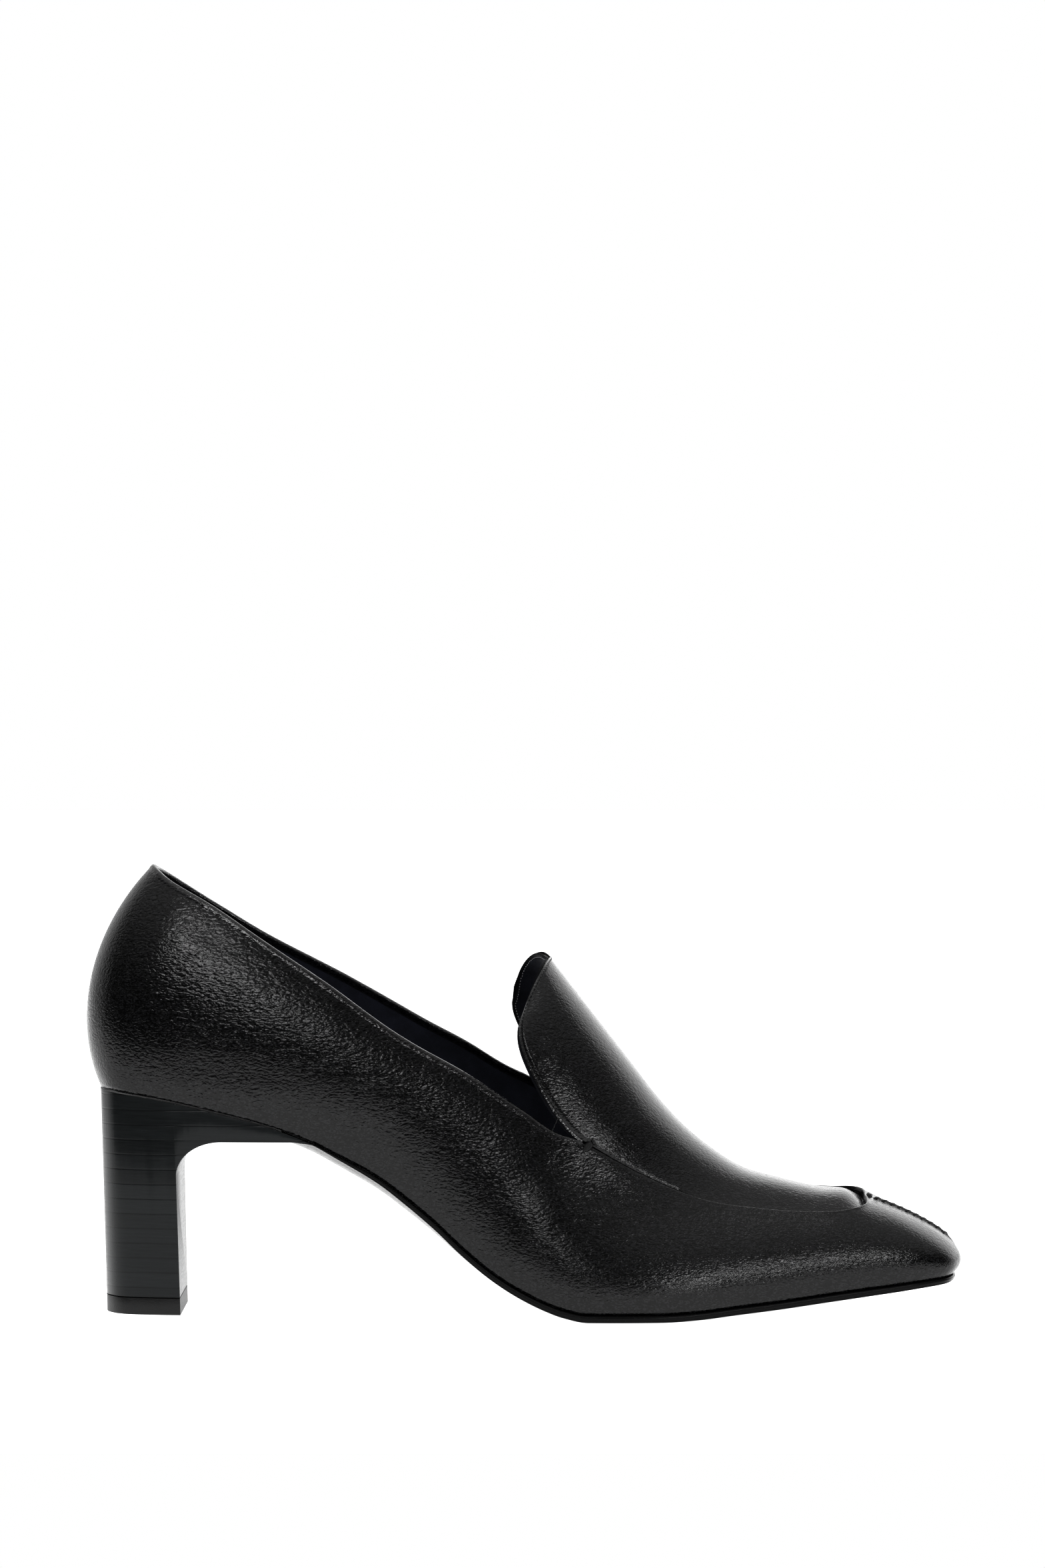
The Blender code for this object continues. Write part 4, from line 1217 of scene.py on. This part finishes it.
class LOAFER_OT_thread(bpy.types.Operator):
    """Whip stitches and knot of the toe, corner tacks and the stitch rows of the tongue"""

    bl_idname = "loafer.thread"
    bl_label = "Thread"

    def execute(self, context):
        settings = context.scene.loafer_thread
        leather = bpy.data.objects["upper_leather"]
        surface = surface_of(leather)
        waxed = thread_finish("waxed_thread", tuple(settings.colour), gloss=0.30)
        pale = thread_finish("bobbin_thread", tuple(settings.pale), gloss=0.45)
        runs = self.whip_runs(settings) + self.knot_runs()
        keep(thread_object("toe_whip_stitches", runs, WHIP_RADIUS, waxed), "black_leather")
        runs = self.tack_runs(LATERAL) + self.tack_runs(MEDIAL)
        keep(thread_object("corner_tacks", runs, TACK_RADIUS, waxed), "black_leather")
        edge = Edge(leather, leather["tongue_edge"][:])
        outer, outer_ways = laid_on(surface, edge.points - settings.inset * edge.outs)
        inner, inner_ways = laid_on(surface, edge.points - 0.7 * settings.inset * edge.outs)
        runs = machine_stitches(outer, outer_ways, settings.pitch, STITCH_RADIUS)
        keep(thread_object("tongue_stitches", runs, STITCH_RADIUS, waxed), "black_leather")
        thick = context.scene.loafer_leather.thickness + context.scene.loafer_lining.thickness
        inner = inner - inner_ways * thick
        pitch = 0.75 * settings.pitch
        runs = machine_stitches(inner, -inner_ways, pitch, BOBBIN_RADIUS, fill=0.55)
        runs = runs[BARE_ENDS:-BARE_ENDS]
        keep(thread_object("lining_stitches", runs, BOBBIN_RADIUS, pale), "insole_lining")
        return {"FINISHED"}

    def toe_line(self):
        """The toe's middle line from the knot down, and the way out of it."""
        heights = np.linspace(1, TOE_LINE_LOW, TOE_LINE_FINE)
        line = np.array(wall_rib(LATERAL, TIP, heights)) - ORIGIN
        run = np.gradient(line, axis=0)
        ways = np.array([unit(np.array([-step[2], 0.0, step[0]])) for step in run])
        return line, ways

    def loops(self, line, ways, places, half, slant, lift):
        """Loops of thread across the seam at some distances along it."""
        runs = []
        for place in places:
            at = [place - slant / 2, place, place + slant / 2]
            start, middle, end = values_along(line, line, at)
            out_start, out, out_end = values_along(line, ways, at)
            start = start + [0, -half, 0] - THREAD_SINK * out_start
            end = end + [0, half, 0] - THREAD_SINK * out_end
            runs.append(loop_over(start, middle + lift * out, end))
        return runs

    def whip_runs(self, settings):
        line, ways = self.toe_line()
        places = WHIP_START + settings.whip_pitch * np.arange(settings.whips)
        return self.loops(line, ways, places, WHIP_HALF, WHIP_SLANT, TOE_RIDGE - WHIP_SINK)

    def knot_runs(self):
        line, ways = self.toe_line()
        places = np.array(KNOT_TURNS)
        return self.loops(line, ways, places, KNOT_HALF, KNOT_SLANT, TOE_RIDGE + KNOT_RISE)

    def tack_runs(self, side):
        """A bar of turns laid side by side over the corner of topline and tongue."""
        out = unit(np.array([0.24, side * 0.94, 0.24]))
        middle = seam_point(side, TACK_PLACE, SEAM_FOLD[1]) - ORIGIN - [0.0, 0.0, TACK_DROP]
        bar = unit(np.cross(out, np.cross(np.array([0.75, 0.0, 0.66]), out)))
        across = np.cross(out, bar)
        runs = []
        places = TACK_FIRST + TACK_STEP * np.arange(TACK_TURNS)
        turns = [(place, TACK_WIDE * math.sqrt(1 - (place / TACK_HALF) ** 2)) for place in places]
        for place, half in turns + TACK_TAIL:
            centre = middle + bar * place
            start = centre - across * half - out * THREAD_SINK
            end = centre + across * half + bar * TACK_SLANT - out * THREAD_SINK
            runs.append(loop_over(start, centre + out * (THREAD_SINK + 0.4 * half), end))
        return runs


class LOAFER_OT_insole(bpy.types.Operator):
    """Sock over the insole"""

    bl_idname = "loafer.insole"
    bl_label = "Insole"

    def execute(self, context):
        shade = lining_finish("sock_lining", toned(context.scene.loafer_lining.colour, 1.2))
        inset = UPPER_WALL + 2 * GAP
        rings = [
            (inset + 0.0006, lambda x, crown: last_bottom(x, crown) + GAP + INSOLE_THICKNESS),
            (inset, lambda x, crown: last_bottom(x, crown) + 0.7 * INSOLE_THICKNESS),
            (inset, lambda x, crown: last_bottom(x, crown) + GAP),
        ]
        stations = rib_stations(0, TIP, SOCK_FINE)
        made = plate(stations, rings, [0.0] * len(stations)).to_object("sock", shade)
        keep(made, "insole_lining", "insole")
        return {"FINISHED"}


def stations_between(start, end, count):
    """Ribs whose feet lie evenly between two places along the shoe."""
    places = np.linspace(start, end, count + 1)
    known = [k / FOOT_FINE for k in range(FOOT_FINE * TIP + 1)]
    feet = [foot_point(LATERAL, t)[0] for t in known]
    return [float(np.interp(x, feet, known)) for x in places]


def cross_row(t, inset, height, hollow=0.0):
    """A row of points across the shoe at rib t. height gives z from x and the crown."""
    outer, inner = foot_point(LATERAL, t), foot_point(MEDIAL, t)
    outer = outer - inset * outward(LATERAL, t)
    inner = inner - inset * outward(MEDIAL, t)
    row = []
    for across in np.linspace(-1, 1, CROSS_FINE + 1):
        share = (across + 1) / 2
        x = outer[0] + share * (inner[0] - outer[0]) - hollow * (1 - across ** 2)
        y = outer[1] + share * (inner[1] - outer[1])
        row.append(np.array([x, y, height(x, crown_at(outer, inner, across))]))
    return row


def closed(layers):
    """A closed block through layers of points, from its top to its bottom."""
    shell = Shell()
    shell.grid(layers[0], flip=True)
    shell.grid(layers[-1])
    for upper, lower in zip(layers, layers[1:]):
        for column, flip in ((0, False), (-1, True)):
            shell.grid([[a[column], b[column]] for a, b in zip(upper, lower)], flip=flip)
        for end, flip in ((0, True), (-1, False)):
            shell.grid([[a, b] for a, b in zip(upper[end], lower[end])], flip=flip)
    return shell


def plate(stations, rings, hollows):
    """A closed plate with rows across the shoe. rings: (inset, height) from top to bottom."""
    layers = []
    for inset, height in rings:
        layers.append([cross_row(t, inset, height, h) for t, h in zip(stations, hollows)])
    return closed(layers)


class LOAFER_OT_outsole(bpy.types.Operator):
    """Thin outsole with its rounded and stepped edge"""

    bl_idname = "loafer.outsole"
    bl_label = "Outsole"

    def execute(self, context):
        colour = tuple(context.scene.loafer_bottom.sole)
        shade = edge_paint_finish("sole_paint", colour, gloss=0.12)
        start = WING_LENGTH + GAP
        front = RIBS[TIP].foot * SHOE_LENGTH
        stations = stations_between(start, RIBS[CORNER].foot * SHOE_LENGTH, SOLE_FINE)
        stations += rib_stations(CORNER, TIP, SOLE_TIP_FINE)[1:]
        hollows = []
        for t in stations:
            fade = 1 - smooth((foot_point(LATERAL, t)[0] - start) / (WING_LENGTH / 2))
            hollows.append(WING_HOLLOW * fade)

        def between(share):
            def height(x, crown):
                top = last_bottom(min(x, front), crown)
                return top + share * (outsole_bottom(min(x, front), crown) - top)
            return height

        rings = [(inset * SOLE_ROUND, between(share)) for inset, share in SOLE_EDGE]
        made = plate(stations, rings, hollows).to_object("outsole_piece", shade, angle=50.0)
        keep(made, "outsole_edge", "outsole")
        return {"FINISHED"}


def heel_outline(t, side, share):
    """The heel's side at rib t, from share 0 on the seat to 1 at the floor."""
    top = foot_point(side, t)
    narrow = BASE_WIDTH / (BALL_WIDTH * (RIBS[4].foot_out + RIBS[4].foot_in))
    base = np.array([top[0] + BASE_BACK - RIBS[0].foot * SHOE_LENGTH, top[1] * narrow, 0.0])
    return top + share * (base - top)


def heel_block(levels):
    """The full block through some heights from its top, before its arch is cut. None: the seat."""
    tip = stations_between(0, WING_LENGTH, 1)[-1]
    stations = [tip * i / HEEL_FINE for i in range(HEEL_FINE + 1)]
    back = RIBS[0].foot * SHOE_LENGTH

    def layer(height):
        """A row of points across the heel at each station."""
        rows = []
        for t in stations:
            seat = foot_point(LATERAL, t)[2]
            share = 0.0 if height is None else 1 - height / seat
            outer, inner = heel_outline(t, LATERAL, share), heel_outline(t, MEDIAL, share)
            forward = (foot_point(LATERAL, t)[0] - back) / (WING_LENGTH - back)
            bow = WING_HOLLOW * smooth(forward) ** 2
            row = []
            for across in np.linspace(-1, 1, CROSS_FINE + 1):
                point = outer + (across + 1) / 2 * (inner - outer)
                point[0] -= bow * (1 - across ** 2)
                if height is None:
                    point[2] = last_bottom(point[0], crown_at(outer, inner, across)) - GAP
                row.append(point)
            rows.append(row)
        return rows

    return closed([layer(level) for level in levels])


def arch_profile(steps):
    """The space before the breast and under the wing, as a side view to be cut away."""
    under = HEEL_HEIGHT - WING_DROP
    spring = under - ARCH_DROP
    lean = (BASE_BREAST - BREAST_TOP) / spring
    level = WING_LENGTH - 0.2 * (WING_LENGTH - BREAST_TOP - ARCH_LENGTH)
    ahead = WING_LENGTH + CUT_MARGIN
    profile = [(ahead, -CUT_MARGIN), (ahead, under), (WING_LENGTH, under - WING_SAG), (level, under)]
    for i in range(steps + 1):
        turn = math.pi / 2 * (1 + i / steps)
        profile.append((
            BREAST_TOP + ARCH_LENGTH * (1 + math.cos(turn)),
            spring + ARCH_DROP * math.sin(turn),
        ))
    profile.append((BASE_BREAST + lean * CUT_MARGIN, -CUT_MARGIN))
    return profile


def cut_arch(target):
    """Cuts the arch, then rounds the edges that the cut leaves."""
    shell = Shell()
    outline = arch_profile(ARCH_FINE)
    index = [[shell.add((x, y, z)) for x, z in outline] for y in (-BALL_WIDTH, BALL_WIDTH)]
    count = len(outline)
    for i in range(count):
        j = (i + 1) % count
        shell.faces.append([index[0][i], index[1][i], index[1][j], index[0][j]])
    shell.faces.append(index[0])
    shell.faces.append(index[1][::-1])
    cutter = shell.to_object("arch_space", target.data.materials[0])
    change = target.modifiers.new("arch", "BOOLEAN")
    change.operation = "DIFFERENCE"
    change.solver = "EXACT"
    change.object = cutter
    round_off = target.modifiers.new("round", "BEVEL")
    round_off.width = HEEL_ROUND
    round_off.segments = 2
    round_off.limit_method = "ANGLE"
    round_off.angle_limit = math.radians(45)
    settle(target)
    bpy.data.objects.remove(cutter)


def settle(made):
    """Turns a piece with its modifiers into a plain mesh, smooth but for its sharp edges."""
    found = made.evaluated_get(bpy.context.evaluated_depsgraph_get())
    mesh = bpy.data.meshes.new_from_object(found)
    made.modifiers.clear()
    made.data = mesh
    mesh.shade_smooth()
    mesh.set_sharp_from_angle(angle=math.radians(38))


class LOAFER_OT_heel(bpy.types.Operator):
    """Stacked heel with its wing, and the top lift under it"""

    bl_idname = "loafer.heel"
    bl_label = "Heel and top lift"

    def execute(self, context):
        settings = context.scene.loafer_bottom
        stack = stack_finish("stacked_heel", tuple(settings.heel), settings.layer, gloss=0.16)
        rubber = rubber_finish("lift_rubber_black", tuple(settings.lift))
        heel = heel_block([None, LIFT_THICKNESS + GAP]).to_object("stacked_heel", stack)
        cut_arch(heel)
        keep(heel, "heel_stack", "heel")
        lift = heel_block([LIFT_THICKNESS, 0.0]).to_object("top_lift_piece", rubber)
        cut_arch(lift)
        keep(lift, "lift_rubber", "top_lift")
        return {"FINISHED"}


PIECES = [LOAFER_OT_stage, LOAFER_OT_upper, LOAFER_OT_lining, LOAFER_OT_thread]
PIECES += [LOAFER_OT_insole, LOAFER_OT_outsole, LOAFER_OT_heel]
SETTINGS = {
    "loafer_leather": LeatherSettings,
    "loafer_lining": LiningSettings,
    "loafer_thread": ThreadSettings,
    "loafer_bottom": BottomSettings,
    "loafer_stage": StageSettings,
}


class LOAFER_PT_panel(bpy.types.Panel):
    """Settings and pieces of the loafer pump"""

    bl_idname = "LOAFER_PT_panel"
    bl_label = "Loafer pump"
    bl_space_type = "VIEW_3D"
    bl_region_type = "UI"
    bl_category = "Loafer"

    def draw(self, context):
        for name, kind in SETTINGS.items():
            box = self.layout.box()
            for row in kind.__annotations__:
                box.prop(getattr(context.scene, name), row)
        for piece in PIECES:
            self.layout.operator(piece.bl_idname)


def register():
    for kind in (*SETTINGS.values(), *PIECES, LOAFER_PT_panel):
        bpy.utils.register_class(kind)
    for name, kind in SETTINGS.items():
        setattr(bpy.types.Scene, name, PointerProperty(type=kind))


def unregister():
    for name in SETTINGS:
        delattr(bpy.types.Scene, name)
    for kind in reversed((*SETTINGS.values(), *PIECES, LOAFER_PT_panel)):
        bpy.utils.unregister_class(kind)


def main():
    register()
    for piece in PIECES:
        group, name = piece.bl_idname.split(".")
        getattr(getattr(bpy.ops, group), name)()


if __name__ == "__main__":
    main()
